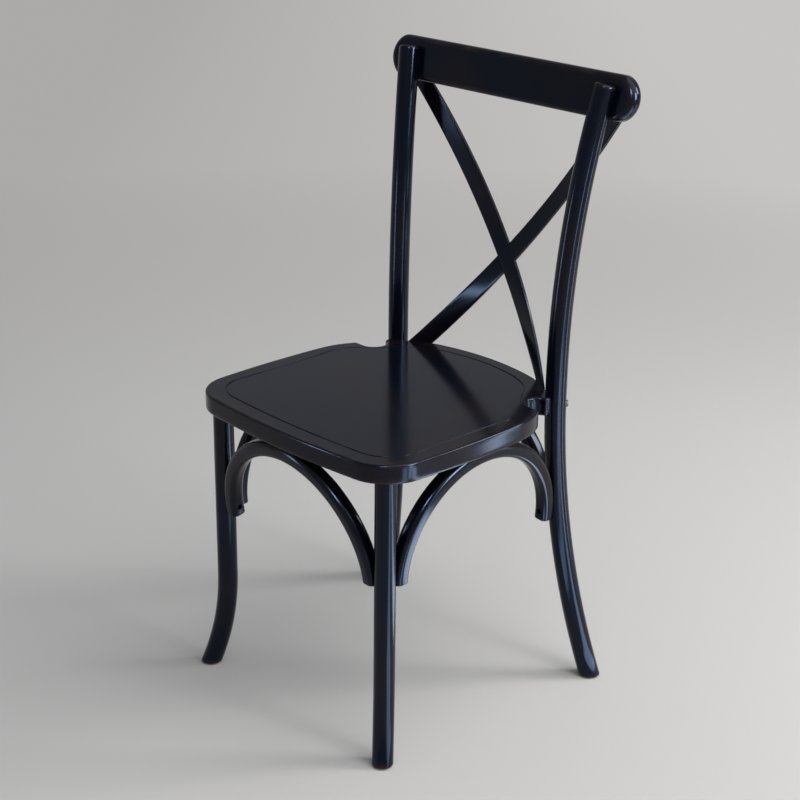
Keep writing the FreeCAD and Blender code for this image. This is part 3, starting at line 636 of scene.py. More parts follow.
@dataclass
class BentRod:
    """A round bar: where it stands, and how it bends at its foot and its top.

    The rings' places are heights above low at the foot, and parts of top_round below the end at the tip.
    """

    place: Pair
    diameter: float
    low: float
    high: float
    foot_bend_top: float
    foot_out: float
    foot_back: float
    foot_ease: float = 0.8
    foot_rings: tuple[float, ...] = (0.0, 0.12, 0.3, 0.55, 0.8, 2.0)
    foot_rubbed: float = 6.0
    bend_start: float = 4.0
    tilt_span: float = 25.0
    top_bend_bottom: float = 0.0
    top_out: float = 0.0
    top_back: float = 0.0
    top_round: float = 0.0
    tip: float = 0.0
    tip_rings: tuple[float, ...] = (1.8, 1.0, 0.75, 0.5, 0.3, 0.15, 0.05, 0.0, 0.0)
    tip_land: float = 0.6
    rings: int = 110
    sides: int = 64

    def centre(self, height: np.ndarray) -> np.ndarray:
        """The axis: the place in plan plus the foot's and the top's offsets, as far as they are reached.

        Args:
            height: Heights.

        Returns:
            A point for each height.
        """
        bends = [(self.foot_bend_top - height, self.foot_bend_top, self.foot_out, self.foot_back)]
        if self.top_bend_bottom:
            reach = self.high - self.top_bend_bottom
            bends.append((height - self.top_bend_bottom, reach, self.top_out, self.top_back))
        plan = np.array(self.place)
        for length, reach, out, back in bends:
            offset = math.hypot(out, back)
            plan = plan + bend_offset(length, reach, offset)[..., None] / offset * (out, back)
        return np.concatenate([plan, height[..., None]], axis=-1)

    def loops(self) -> Loops:
        """Rings r (cos a, sin a) along the axis: level at the foot, square to the axis from a little above,
        and rounded off at the top.

        Returns:
            The loops.
        """
        last, step = self.high - self.tip, 0.01
        bend = np.linspace(self.low + self.bend_start, last, self.rings)
        heights = np.concatenate([self.low + np.array(self.foot_rings), bend])
        centres = self.centre(heights)
        ways = unit(self.centre(heights + step * (heights < last - step)) - self.centre(heights - step))
        radius = self.diameter / 2 - eased(heights - self.low, self.foot_ease)
        edge = np.where(heights < self.low + self.foot_rubbed, 1.0, 0.0)
        if self.tip:
            length = self.tip / ways[-1, 2]
            run = length - self.top_round * np.array(self.tip_rings)
            tip_radius = self.diameter / 2 - eased(length - run, self.top_round)
            tip_radius[-1] -= self.tip_land
            centres = np.concatenate([centres, centres[-1] + run[:, None] * ways[-1]])
            ways = np.concatenate([ways, np.repeat(ways[-1:], len(run), axis=0)])
            radius = np.concatenate([radius, tip_radius])
            edge = np.concatenate([edge, [0.0], np.ones(len(run) - 1)])
        level = np.clip((centres[:, 2] - self.low) / self.tilt_span, 0, 1)[:, None]
        planes = unit(UP * (1 - level) + ways * level)
        across = unit(np.cross(ways, np.cross([self.foot_out, self.foot_back, 0.0], UP)))
        angle = np.linspace(0, 2 * np.pi, self.sides, endpoint=False)
        profile = radius[:, None, None] * pointing(angle)
        return carried(centres, ways, planes, profile, across, np.repeat(edge[:, None], self.sides, axis=1))


@dataclass
class SubAssembly:
    """A group of pieces that is made in the workshop."""

    shop: Workshop


@dataclass
class Legs(SubAssembly):
    """Two front legs and two rear posts, with the flats for the bolts' washers."""

    glide: float = 2.5
    seat_underside: float = 422.0
    front: Pair = (173.0, 0.0)
    rear: Pair = (165.2, 340.8)
    front_diameter: float = 30.0
    rear_diameter: float = 31.0
    post_height: float = 895.5
    bolt_height: float = 436.0
    bolt_seat_radius: float = 12.6
    washer_hole: float = 16.3

    def front_leg(self) -> BentRod:
        """The left front leg."""
        return BentRod(self.front, self.front_diameter, self.glide, self.seat_underside,
                       foot_bend_top=151.0, foot_out=20.5, foot_back=-21.0)

    def rear_post(self) -> BentRod:
        """The left rear post.

        Returns:
            The rod.
        """
        return BentRod(self.rear, self.rear_diameter, self.glide, self.post_height,
                       foot_bend_top=454.0, foot_out=60.5, foot_back=37.8,
                       top_bend_bottom=476.0, top_out=26.6, top_back=42.6, top_round=4.0, tip=8.0)

    def bolt_way(self, side: Side) -> np.ndarray:
        """From behind a post into the seat, level and halfway between forward and inward."""
        return np.array([-side.value, -1.0, 0.0]) / math.sqrt(2)

    def bolt_centre(self, side: Side) -> np.ndarray:
        """Where a bolt crosses its post's axis."""
        return self.rear_post().centre(np.array(self.bolt_height)) * [side.value, 1, 1]

    def build(self) -> None:
        """Makes the four uprights."""
        for node, rod in (("front_leg", self.front_leg()), ("rear_post", self.rear_post())):
            for side in Side:
                name, loops, cutters = side.name.lower(), rod.loops().on(side), []
                if node == "rear_post":
                    way = self.bolt_way(side)
                    flat = self.bolt_centre(side) - way * self.bolt_seat_radius
                    cutters = [self.shop.bore(flat, -way, self.washer_hole, self.rear_diameter / 2)]
                self.shop.make(f"{name}_{node}", f"{node}_{name}", loops, cutters)


@dataclass
class Arch:
    """A bent bar of rounded square section between two legs, leaning outward under the seat.

    The path stands on the line from start to end: up, a quarter circle, level, a quarter circle and down.
    The corners are rubbed where |x| + |y| comes within some parts of the corner's radius of the size.
    """

    start: np.ndarray
    end: np.ndarray
    outward: Triple
    lean: float
    size: float = 23.0
    corner: float = 8.0
    end_height: float = 260.0
    straight: float = 5.0
    end_round: float = 2.0
    end_rings: tuple[float, ...] = (0.0, 0.0, 0.08, 0.25, 0.5, 0.75, 1.0)
    end_land: float = 0.4
    end_rubbed: float = 1.2
    stem_rings: int = 4
    bend_rings: int = 40
    least_level: float = 0.005
    rubbed_from: float = 0.9
    rubbed_span: float = 0.3
    rubbed_share: float = 0.4
    crown_top: float = 422.0
    crown_flat: float = 1.2
    screw_hole: float = 8.3
    screw_recess: float = 6.5
    screw_rise: float = 14.0
    screw_spread: float = 24.0

    def __post_init__(self) -> None:
        """Works out the plane that the path lies in: its up is (rise x UP + lean x outward) / height."""
        span = self.end - self.start
        self.half_span = float(np.linalg.norm(span)) / 2
        self.along = span / (2 * self.half_span)
        outward = np.array(self.outward)
        outward = unit(outward - self.along * outward.dot(self.along))
        rise = self.crown_top - self.size / 2 + self.crown_flat - self.end_height
        self.height = math.hypot(rise, self.lean)
        self.up = (UP * rise + outward * self.lean) / self.height
        self.across = np.cross(self.along, self.up)
        self.middle = (self.start + self.end) / 2
        self.bend = min(self.half_span, self.height - self.straight)

    def loops(self) -> Loops:
        """The rounded square carried along the path, rounded off at its ends and planed under the seat.

        In a quarter circle of the radius b, turned by t, the path is b sin t up and b (1 - cos t) inward.

        Returns:
            The loops.
        """
        ease = self.end_round * np.array(self.end_rings)
        above = np.linspace(self.end_round, self.height - self.bend, self.stem_rings)[1:-1]
        stem = np.concatenate([ease, above])
        still = np.zeros(len(stem))
        turn = np.linspace(0, np.pi / 2, self.bend_rings)
        run = np.concatenate([stem, self.height - self.bend + self.bend * np.sin(turn)])
        reach = np.concatenate([still, self.bend * (1 - np.cos(turn))])
        angle = np.concatenate([still, turn])
        inset = eased(run, self.end_round)
        inset[0] += self.end_land
        shared = int(self.half_span - self.bend < self.least_level)

        def whole(first: np.ndarray, last: np.ndarray) -> np.ndarray:
            """Both halves in one row, with the crown's ring once where the quarter circles meet."""
            return np.concatenate([first, last[::-1][shared:]])

        run, reach, angle, inset = (whole(*halves) for halves in (
            (run, run), (reach, 2 * self.half_span - reach), (angle, np.pi - angle), (inset, inset)))
        centres = self.middle + (reach - self.half_span)[:, None] * self.along + run[:, None] * self.up
        ways = np.sin(angle)[:, None] * self.along + np.cos(angle)[:, None] * self.up
        side = self.size - 2 * inset
        profile = rounded_rectangle(side, side, self.corner - inset)
        corner = np.abs(profile).sum(-1) - self.size + self.rubbed_from * self.corner
        corner = self.rubbed_share * np.clip(corner / (self.rubbed_span * self.corner), 0, 1)
        edge = np.maximum(corner, (run < self.end_rubbed * self.end_round)[:, None])
        made = carried(centres, ways, ways, profile, self.across[None], edge)
        made.points[..., 2] = np.minimum(made.points[..., 2], self.crown_top)
        return made

    def bores(self, shop: Workshop) -> list[bpy.types.Object]:
        """The recesses of the two end screws and the two crown screws.

        Args:
            shop: The workshop.

        Returns:
            Their cutters.
        """
        half = self.size / 2
        made = []
        for sense in (-1, 1):
            way = self.along * sense
            face = self.middle + way * (self.half_span - half) + self.up * self.screw_rise
            made.append(shop.bore(face - way * half, way, self.screw_hole, half + self.screw_recess))
            low = self.middle + self.up * self.height + way * (self.screw_spread / 2)
            low = low - UP * (half - self.screw_recess)
            made.append(shop.bore(low, -UP, self.screw_hole, half + self.screw_recess))
        return made


@dataclass
class Arches(SubAssembly):
    """The four arches, from where the uprights stand at the height of the end screws.

    The side arches' rear ends slip inward on the round posts.
    """

    legs: Legs
    front_lean: float = 28.0
    side_lean: float = 14.0
    slip: float = 8.0
    cope: float = 1.5

    def made(self) -> dict[str, Arch]:
        """Works out the arches: an end's middle stands inside the upright's axis by the upright's radius
        and half the arch's size less the cope.

        Returns:
            The arches by name.
        """
        height = np.array(Arch.end_height + Arch.screw_rise)
        lift = UP * Arch.end_height
        front = self.legs.front_leg().centre(height) * [1, 1, 0]
        rear = self.legs.rear_post().centre(height) * [1, 1, 0]
        slipped = rear - [self.slip, 0.0, 0.0]
        inset, rear_radius = Arch.size / 2 - self.cope, self.legs.rear_diameter / 2
        at_front, at_rear = self.legs.front_diameter / 2 + inset, rear_radius + inset
        at_side = math.sqrt(rear_radius ** 2 - self.slip ** 2) + inset
        plans = {"front": (front * MIRROR, front, at_front, at_front, (0.0, -1.0, 0.0), self.front_lean),
                 "rear": (rear * MIRROR, rear, at_rear, at_rear, (0.0, 1.0, 0.0), 0.0),
                 "left": (front, slipped, at_front, at_side, (1.0, 0.0, 0.0), self.side_lean),
                 "right": (front * MIRROR, slipped * MIRROR, at_front, at_side, (-1.0, 0.0, 0.0),
                           self.side_lean)}
        arches = {}
        for name, (first, last, first_reach, last_reach, outward, lean) in plans.items():
            along = unit(last - first)
            start, end = first + along * first_reach + lift, last - along * last_reach + lift
            arches[name] = Arch(start, end, outward, lean)
        return arches

    def build(self) -> None:
        """Makes the arches."""
        for name, arch in self.made().items():
            self.shop.make(f"{name}_arch", f"arch_{name}", arch.loops(), arch.bores(self.shop))


@dataclass
class CrestRail(SubAssembly):
    """A straight bar with round ends, leaning back as the posts do."""

    post: BentRod
    bottom: float = 847.0
    height: float = 64.0
    thickness: float = 24.0
    half_length: float = 237.0
    edge_round: float = 7.0
    end_round: float = 11.0
    setback: float = 6.0
    end_steps: int = 49
    straight_steps: int = 23
    round_steps: int = 13
    face_insets: Pair = (3.0, 0.5)
    depth_shares: Pair = (0.3, 0.8)
    rubbed_span: float = 0.4
    rubbed_spare: float = 0.2

    def lean(self) -> float:
        """The posts' lean at the rail's middle, seen from the side: asin(rise / radius) x its backward part.

        Returns:
            The lean in radians.
        """
        offset = math.hypot(self.post.top_out, self.post.top_back)
        radius = bend_radius(self.post.high - self.post.top_bend_bottom, offset)
        middle = self.bottom + self.height / 2 - self.post.top_bend_bottom
        return math.asin(middle / radius) * self.post.top_back / offset

    def front_low(self) -> np.ndarray:
        """The middle of the front face's lower edge."""
        return np.array([0.0, self.post.centre(np.array(self.bottom))[1] + self.setback, self.bottom])

    def loops(self) -> Loops:
        """A stadium whose edges are rounded, more so round its ends, turned back by the lean.

        With the edge's radius e, its turn t and the end's direction a: x = reach + (r - e (1 - sin t)) cos a,
        z = r + (r - e (1 - sin t)) sin a and the depth is e (1 - cos t).

        Returns:
            The loops.
        """
        turn = np.linspace(-np.pi / 2, np.pi / 2, self.end_steps)
        radius = self.height / 2
        reach = self.half_length - radius
        straight = np.linspace(reach, -reach, self.straight_steps + 2)[1:-1]
        still = np.zeros(self.straight_steps)
        core_x = np.concatenate([np.full_like(turn, reach), straight, np.full_like(turn, -reach), -straight])
        cosine = np.concatenate([np.cos(turn), still, -np.cos(turn), still])
        sine = np.concatenate([np.sin(turn), still + 1, -np.sin(turn), still - 1])
        curve = self.edge_round + (self.end_round - self.edge_round) * np.sin(np.abs(cosine) * np.pi / 2) ** 2
        bend, flat = np.linspace(0, np.pi / 2, self.round_steps)[:, None], np.zeros((2, len(curve)))
        face, depth = np.array([self.face_insets, self.depth_shares])[..., None]
        inset = np.concatenate([curve + face, curve * (1 - np.sin(bend)), flat])
        deep = curve + (self.thickness / 2 - curve) * depth
        front = np.concatenate([flat, curve * (1 - np.cos(bend)), deep])
        inset = np.concatenate([inset, inset[::-1]])
        y = np.concatenate([front, self.thickness - front[::-1]])
        x, z = core_x + (radius - inset) * cosine, radius + (radius - inset) * sine
        cos, sin = math.cos(self.lean()), math.sin(self.lean())
        points = np.stack([x, y * cos + z * sin, z * cos - y * sin], -1)
        edge = np.clip(inset / (self.rubbed_span * curve), 0, 1) * (inset < curve + self.rubbed_spare)
        return Loops(points + self.front_low(), np.stack([x, y, z], -1), edge)

    def build(self) -> None:
        """Makes the rail."""
        self.shop.make("crest_rail_bar", "crest_rail", self.loops(), [])


class Outline:
    """A smooth line in plan, drawn arc by arc as a compass would, in steps of some mm and some degrees."""

    STEP = 2.5
    TURN = 7.0

    def __init__(self, start: Pair, heading: float) -> None:
        """Starts at a point with a heading in degrees."""
        self.points = [np.array([start], float)]
        self.heading = heading

    @property
    def end(self) -> np.ndarray:
        """The last point."""
        return self.points[-1][-1]

    def _arc(self, x: float, y: float, turn: float) -> "Outline":
        """Adds an arc.

        With a = turn / 2, the chord to a share t of the arc is c sin(a t) / sin(a) long and turns by a t.

        Args:
            x: Where it ends.
            y: Where it ends.
            turn: By how many degrees it turns.

        Returns:
            The outline.
        """
        chord = np.array([x, y]) - self.end
        length = float(np.linalg.norm(chord))
        half = math.radians(turn) / 2
        count = max(2, math.ceil(length / self.STEP), math.ceil(abs(turn) / self.TURN))
        share = np.arange(1, count + 1) / count
        reach = length * share * np.sinc(half * share / np.pi) / np.sinc(half / np.pi)
        angle = math.radians(self.heading) + half * share
        self.points.append(self.end + reach[:, None] * pointing(angle))
        self.heading += turn
        return self

    def through(self, x: float, y: float) -> "Outline":
        """Adds an arc that keeps the heading and ends at a point: it turns by twice the chord's angle.

        Args:
            x: Where it ends.
            y: Where it ends.

        Returns:
            The outline.
        """
        across, ahead = np.array([x, y]) - self.end
        half = wrapped(math.degrees(math.atan2(ahead, across)) - self.heading)
        return self._arc(x, y, 2 * half)

    def turn(self, radius: float, heading: float) -> "Outline":
        """Adds an arc of a radius that ends at a heading: its chord is 2 r sin(turn / 2).

        Args:
            radius: The radius in mm.
            heading: The heading in degrees.

        Returns:
            The outline.
        """
        turn = wrapped(heading - self.heading)
        middle = math.radians(self.heading + turn / 2)
        chord = 2 * radius * math.sin(math.radians(abs(turn)) / 2)
        x, y = self.end + chord * np.array([math.cos(middle), math.sin(middle)])
        return self._arc(x, y, turn)

    def run(self, x: float, y: float) -> "Outline":
        """Adds a straight line: the end so far plus equal shares of the way to the new end.

        Args:
            x: Where it ends.
            y: Where it ends.

        Returns:
            The outline.
        """
        ahead = np.array([x, y]) - self.end
        count = max(1, int(np.linalg.norm(ahead) / self.STEP))
        self.points.append(self.end + ahead * (np.arange(1, count + 1) / count)[:, None])
        return self

    def line(self) -> np.ndarray:
        """All points."""
        return np.concatenate(self.points)


def closed_loop(half: np.ndarray) -> np.ndarray:
    """A half line from the middle round to the middle, and its mirror image back to the start."""
    return np.concatenate([half, (half * [-1, 1])[-2:0:-1]])


def inward(loop: np.ndarray) -> np.ndarray:
    """Unit vectors into a counter-clockwise loop: its way (x, y) turned left by a quarter is (-y, x)."""
    ahead = unit(np.roll(loop, -1, axis=0) - np.roll(loop, 1, axis=0))
    return np.stack([-ahead[:, 1], ahead[:, 0]], axis=-1)


def in_directions(line: np.ndarray, heart: np.ndarray, bearing: np.ndarray) -> np.ndarray:
    """Where directions a from a heart meet a line: heart + reach (cos a, sin a), the reach read off it.

    Args:
        line: The line, counter-clockwise, met once in every direction.
        heart: The point looked from.
        bearing: The directions, in radians.

    Returns:
        One point for each direction.
    """
    away = line - heart
    turn = np.unwrap(np.arctan2(away[:, 1], away[:, 0]))
    turns = np.concatenate([turn - 2 * np.pi, turn, turn + 2 * np.pi])
    reach = np.interp(bearing, turns, np.tile(np.linalg.norm(away, axis=1), 3))
    return heart + reach[:, None] * pointing(bearing)


@dataclass
class SeatBoard(SubAssembly):
    """The seat: a flat board with rounded edges and a routed line that follows them."""

    height: float = 450.0
    thickness: float = 28.0
    front_reach: float = 43.9
    half_width: float = 210.0
    rear_reach: float = 379.8
    top_round: float = 3.0
    bottom_round: float = 4.5
    front_bend: Pair = (150.0, 7.5)
    front_corner: Pair = (0.8, 24.7)
    widest_y: float = 217.0
    ear_line: float = 276.0
    ear_drop: float = 16.5
    ear_round: float = 7.0
    cove_radius: float = 20.3
    cove_x: float = 173.0
    cove_heading: float = 20.0
    tab_round: float = 5.0
    rear_bend: Pair = (94.5, 12.3)
    rear_corner: Pair = (146.2, 40.2)
    tab_meet_drop: float = 4.6
    groove_inset: float = 27.0
    groove_side_spare: float = 2.5
    groove_front_bend: Pair = (48.0, 6.0)
    groove_corner_y: float = 60.0
    groove_widest_y: float = 200.0
    groove_rear_inset: float = 22.0
    groove_rear_bends: tuple[Pair, ...] = ((70.0, 8.5), (135.0, 54.0), (165.0, 89.0))
    groove_width: float = 2.4
    groove_depth: float = 1.2
    groove_ease: float = 0.3
    groove_land: float = 0.1
    bottom_land: float = 0.4
    top_land: float = 0.2
    rim_rubbed: float = 0.8
    round_steps: int = 7
    side_steps: int = 5
    bottom_shares: Triple = (0.1, 0.5, 0.9)
    top_shares: tuple[float, ...] = (0.85, 0.6, 0.35, 0.1)
    heart_y: float = 268.0
    nut_reach: float = 36.0
    nut_hole: float = 12.3
    nut_length: float = 18.0
    cutter_spare: float = 5.0

    def rear_line(self) -> np.ndarray:
        """The rear edge in plan, from the middle to the sitter's left.

        Returns:
            Its points.
        """
        line = Outline((0.0, self.rear_reach), 0.0)
        for x, ahead in (self.rear_bend, self.rear_corner):
            line.through(x, self.rear_reach - ahead)
        return line.line()

    def rim(self) -> np.ndarray:
        """The edge in plan, arc by arc from the middle of the front to the cove, the tab and the rear edge.

        Returns:
            Its points, counter-clockwise from the middle of the front.
        """
        meet_y = self.rear_reach - self.rear_corner[1] - self.tab_meet_drop
        side = Outline((0.0, -self.front_reach), 0.0)
        side.through(self.front_bend[0], self.front_bend[1] - self.front_reach)
        side.through(self.half_width - self.front_corner[0], self.front_corner[1])
        side.through(self.half_width, self.widest_y)
        side.through(self.half_width - self.ear_drop, self.ear_line - self.ear_round / 2)
        side.turn(self.ear_round, 180.0).run(self.cove_x, side.end[1])
        side.turn(self.cove_radius, self.cove_heading).turn(self.tab_round, 90.0)
        side.run(side.end[0], meet_y - self.ear_round).turn(self.ear_round, 180.0)
        rear = self.rear_line()
        return closed_loop(np.concatenate([side.run(*rear[-1]).line(), rear[-2::-1]]))

    def groove_line(self) -> np.ndarray:
        """The middle of the routed line in plan, arc by arc from the front and from the rear.

        Returns:
            Its points, counter-clockwise from the middle of the front.
        """
        front_y = self.groove_inset - self.front_reach
        side_x = self.half_width + self.groove_side_spare - self.groove_inset
        rear_y = self.rear_reach - self.groove_rear_inset
        in_from_side, back = self.groove_front_bend
        front = Outline((0.0, front_y), 0.0).through(side_x - in_from_side, front_y + back)
        front.through(side_x, front_y + self.groove_corner_y).through(side_x, self.groove_widest_y)
        rear = Outline((0.0, rear_y), 0.0)
        for x, ahead in self.groove_rear_bends:
            rear.through(x, rear_y - ahead)
        rear.through(side_x, self.groove_widest_y)
        return closed_loop(np.concatenate([front.line(), rear.line()[-2::-1]]))

    def loops(self) -> Loops:
        """Loops from the middle of the underside round the edge and over the groove to the middle of the top.

        The edge's loops are the outline moved inward by r - sqrt(r^2 - (r - d)^2) at a depth d from the face.
        The groove's loops pass the same directions from the seat's heart as the outline's points.

        Returns:
            The loops.
        """
        rim = self.rim()
        within = inward(rim)
        heart = np.array([0.0, self.heart_y])
        top, bottom = self.height, self.height - self.thickness
        turn = 1 - np.cos(np.linspace(0, np.pi / 2, self.round_steps))

        def rounded(height: float, radius: float, land: float = 0.0) -> tuple[np.ndarray, float, float]:
            """The outline on a rounded edge at a height: its points, the height and how far it is rubbed."""
            depth = np.array(min(height - bottom, top - height))
            return rim + within * (eased(depth, radius) + land), height, self.rim_rubbed

        flat = rim + within * (self.bottom_round + self.bottom_land)
        rows = [(heart + (flat - heart) * share, bottom, 0.0) for share in self.bottom_shares]
        rows.append(rounded(bottom, self.bottom_round, self.bottom_land))
        rows += [rounded(bottom + depth, self.bottom_round) for depth in self.bottom_round * turn]
        side = np.linspace(bottom + self.bottom_round, top - self.top_round, self.side_steps)[1:-1]
        rows += [(rim, height, 0.0) for height in side]
        rows += [rounded(top - depth, self.top_round) for depth in self.top_round * turn[::-1]]
        rows.append(rounded(top, self.top_round, self.top_land))
        bearing = np.unwrap(np.arctan2(*(rows[-1][0] - heart).T[::-1]))
        half, ease, deep = self.groove_width / 2, self.groove_ease, self.groove_depth
        lip = [(half + ease + self.groove_land, 0.0), (half + ease, 0.0), (half + ease / 3, ease / 3),
               (half, ease), (half, deep - ease), (half - ease, deep)]
        groove = self.groove_line()
        groove_in = inward(groove)
        rows += [(in_directions(groove - groove_in * out, heart, bearing), top - down, 0.0)
                 for out, down in lip + [(-out, down) for out, down in lip[::-1]]]
        rows += [(heart + (rows[-1][0] - heart) * share, top, 0.0) for share in self.top_shares]
        plan, heights, edge = (np.array(part) for part in zip(*rows))
        heights = np.broadcast_to(heights[:, None, None], plan.shape[:2] + (1,))
        points = np.concatenate([plan, heights], axis=-1)
        return Loops(points, points, np.repeat(edge[:, None], len(rim), axis=1))

    def nut_bores(self, legs: Legs) -> list[bpy.types.Object]:
        """Cutters for the holes from below that the bolts' barrel nuts are pushed into.

        Args:
            legs: The legs, which tell where the bolts are.

        Returns:
            The cutters.
        """
        start = self.height - self.thickness - self.cutter_spare
        nuts = [legs.bolt_centre(side) + legs.bolt_way(side) * self.nut_reach for side in Side]
        return [self.shop.bore(np.array([*nut[:2], start]), UP, self.nut_hole,
                               nut[2] + self.nut_length / 2 - start) for nut in nuts]

    def build(self, cutters: list[bpy.types.Object]) -> None:
        """Makes the seat, less the cutters of what is let into it."""
        self.shop.make("seat", "seat_board", self.loops(), cutters)


@dataclass
class CrossStrips(SubAssembly):
    """Two flat strips that cross in a half lap, both on one round surface that leans back.

    A place on a strip is told by s, 0 at the rail's lower edge and 1 at the seat's top.
    """

    rail: CrestRail
    seat: SeatBoard
    width: float = 27.3
    thickness: float = 5.0
    corner: float = 1.0
    top_x: float = 190.7
    top_proud: float = 2.4
    cross_back: float = 65.1
    bottom_x: float = 125.4
    bow: float = 3.8
    top_toe: float = 10.0
    bottom_toe: float = 34.0
    rail_lap: float = 11.0
    seat_lap: float = 12.0
    half_lap_reach: float = 45.0
    recess_rise: float = 30.0
    glue_gap: float = 0.1
    step: float = 5.0
    least_loops: int = 4
    corner_steps: int = 4
    side_steps: int = 8
    rubbed_width: float = 1.5

    def __post_init__(self) -> None:
        """Finds the crossing, where x is 0, as the root of a square, and solves the surface's lean and hollow
        from its depths at the rail, the crossing and the seat."""
        self.drop = self.rail.bottom - self.seat.height
        rear_y = float(np.interp(self.bottom_x, *self.seat.rear_line().T))
        bottom_y = rear_y - self.thickness / 2 / math.cos(math.radians(self.bottom_toe))
        linear, square = self.top_x + self.bottom_x - 4 * self.bow, 4 * self.bow
        self.cross_s = (-linear + math.sqrt(linear ** 2 + 4 * square * self.top_x)) / (2 * square)
        self.cross_z = self.rail.bottom - self.drop * self.cross_s
        self.cross_y = self.rail.post.place[1] + self.cross_back
        top_y = self.rail.front_low()[1] + self.rail.thickness / math.cos(self.rail.lean()) + self.top_proud
        matrix = np.array([[self.rail.bottom - self.cross_z, -self.top_x ** 2],
                           [self.seat.height - self.cross_z, -self.bottom_x ** 2]])
        self.lean, self.hollow = np.linalg.solve(matrix, [top_y - self.cross_y, bottom_y - self.cross_y])

    def centre(self, s: np.ndarray) -> np.ndarray:
        """The middle line: x runs from rail to seat with a bow of 4 s (1 - s), and y is on the round surface,
        cross_y + lean (z - cross_z) - hollow x^2.

        Args:
            s: Places on the strip.

        Returns:
            A point for each.
        """
        x = -self.top_x + (self.top_x + self.bottom_x) * s - self.bow * 4 * s * (1 - s)
        z = self.rail.bottom - self.drop * s
        y = self.cross_y + self.lean * (z - self.cross_z) - self.hollow * x * x
        return np.stack([x, y, z], axis=-1)

    def directions(self, s: np.ndarray) -> tuple[np.ndarray, np.ndarray]:
        """The strip's ways: its face turns by the toe, a square curve through top_toe at the rail, 0 at the
        crossing and -bottom_toe at the seat.

        Args:
            s: Places on the strip.

        Returns:
            The directions ahead along the strip, and across its width.
        """
        step = 1e-4
        ahead = unit(self.centre(s + step) - self.centre(s - step))
        curve = (-self.bottom_toe - self.top_toe + self.top_toe / self.cross_s) / (1 - self.cross_s)
        slope = -self.bottom_toe - self.top_toe - curve
        toe = np.radians(self.top_toe + slope * s + curve * s * s)
        flat = np.stack([np.sin(toe), -np.cos(toe), np.zeros_like(toe)], axis=-1)
        rise = -(flat * ahead).sum(-1) / ahead[:, 2]
        return ahead, np.cross(ahead, unit(flat + rise[:, None] * UP))

    def loops(self, high: float, low: float, spare: float = 0.0, front: float = 0.0, rear: float = 0.0,
              corner: float = 0.0) -> Loops:
        """Level loops of a rounded rectangle carried down the strip.

        Args:
            high: The height of the first loop.
            low: The height of the last.
            spare: How much wider it is on each side.
            front: Added to the front face.
            rear: Added to the rear face.
            corner: The radius of its corners.

        Returns:
            The loops.
        """
        heights = np.linspace(high, low, max(self.least_loops, int((high - low) / self.step)))
        s = (self.rail.bottom - heights) / self.drop
        ahead, across = self.directions(s)
        ones = np.ones(len(s))
        profile = rounded_rectangle(ones * (self.width + 2 * spare), ones * (self.thickness + front + rear),
                                    ones * corner, self.corner_steps if corner else 0, self.side_steps)
        profile[..., 1] = -profile[..., 1] - (front - rear) / 2
        rim = self.width / 2 + spare - corner - self.rubbed_width
        edge = np.clip((np.abs(profile[..., 0]) - rim) / self.rubbed_width, 0, 1)
        return carried(self.centre(s), ahead, UP[None], profile, across, edge)

    def foot_recesses(self) -> list[bpy.types.Object]:
        """Cutters for the recesses in the seat's rear edge, open at the top and behind.

        Returns:
            The cutters.
        """
        gap, top = self.glue_gap, self.seat.height
        foot = self.loops(top + self.recess_rise, top - self.seat_lap - gap, gap, gap, self.thickness)
        return [self.shop.skin("foot_recess", foot.on(side)) for side in Side]

    def build(self) -> None:
        """Makes both strips, halved into each other where they cross."""
        high, low = self.rail.bottom + self.rail_lap, self.seat.height - self.seat_lap
        strip = self.loops(high, low, corner=self.corner)
        lap = (self.cross_z + self.half_lap_reach, self.cross_z - self.half_lap_reach, self.glue_gap)
        behind = self.loops(*lap, front=-self.thickness / 2, rear=self.thickness)
        before = self.loops(*lap, front=self.thickness, rear=-self.thickness / 2)
        for name, side, cutter in (("front", Side.LEFT, behind.on(Side.RIGHT)), ("rear", Side.RIGHT, before)):
            lap_cutter = self.shop.skin("lap", cutter)
            self.shop.make(f"{name}_strip", f"cross_strip_{name}", strip.on(side), [lap_cutter])


@dataclass
class Fittings:
    """The screws, bolts, nuts, caps and glides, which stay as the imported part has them."""

    steel: bpy.types.Material
    nylon: bpy.types.Material

    def dress(self) -> None:
        """Gives each fitting its finish."""
        finishes = {"glide": self.nylon, "caps": self.nylon,
                    "screws": self.steel, "bolt": self.steel, "nut": self.steel}
        for name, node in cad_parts.items():
            finish = next((finish for word, finish in finishes.items() if word in name), None)
            if finish:
                for slot in node.material_slots:
                    slot.material = finish
                log.info("%s is dressed in %s", name, finish.name)


@dataclass(frozen=True)
class Softbox:
    """A plain area light that faces its target, or a bluish card that only shows as a glint in the lacquer.

    Its azimuth runs from +X towards +Y, and both angles are in degrees.
    """

    name: str
    azimuth: float
    elevation: float
    distance: float
    size: Pair
    power: float
    target: Triple = (0.0, 0.0, 0.5)
    card: bool = False

    def build(self) -> None:
        """Makes the light at target + distance (cos a cos e, sin a cos e, sin e), facing the target."""
        data = bpy.data.lights.new(self.name, "AREA")
        data.shape, data.size, data.size_y, data.energy = "RECTANGLE", *self.size, self.power
        data.color = DAYLIGHT if self.card else WHITE
        turn, rise = math.radians(self.azimuth), math.radians(self.elevation)
        away = np.array([math.cos(turn) * math.cos(rise), math.sin(turn) * math.cos(rise), math.sin(rise)])
        across = np.array([-math.sin(turn), math.cos(turn), 0.0])
        place = np.array(self.target) + self.distance * away
        light = added(self.name, data, (across, np.cross(away, across), away), place)
        light.visible_camera, light.visible_diffuse = False, not self.card


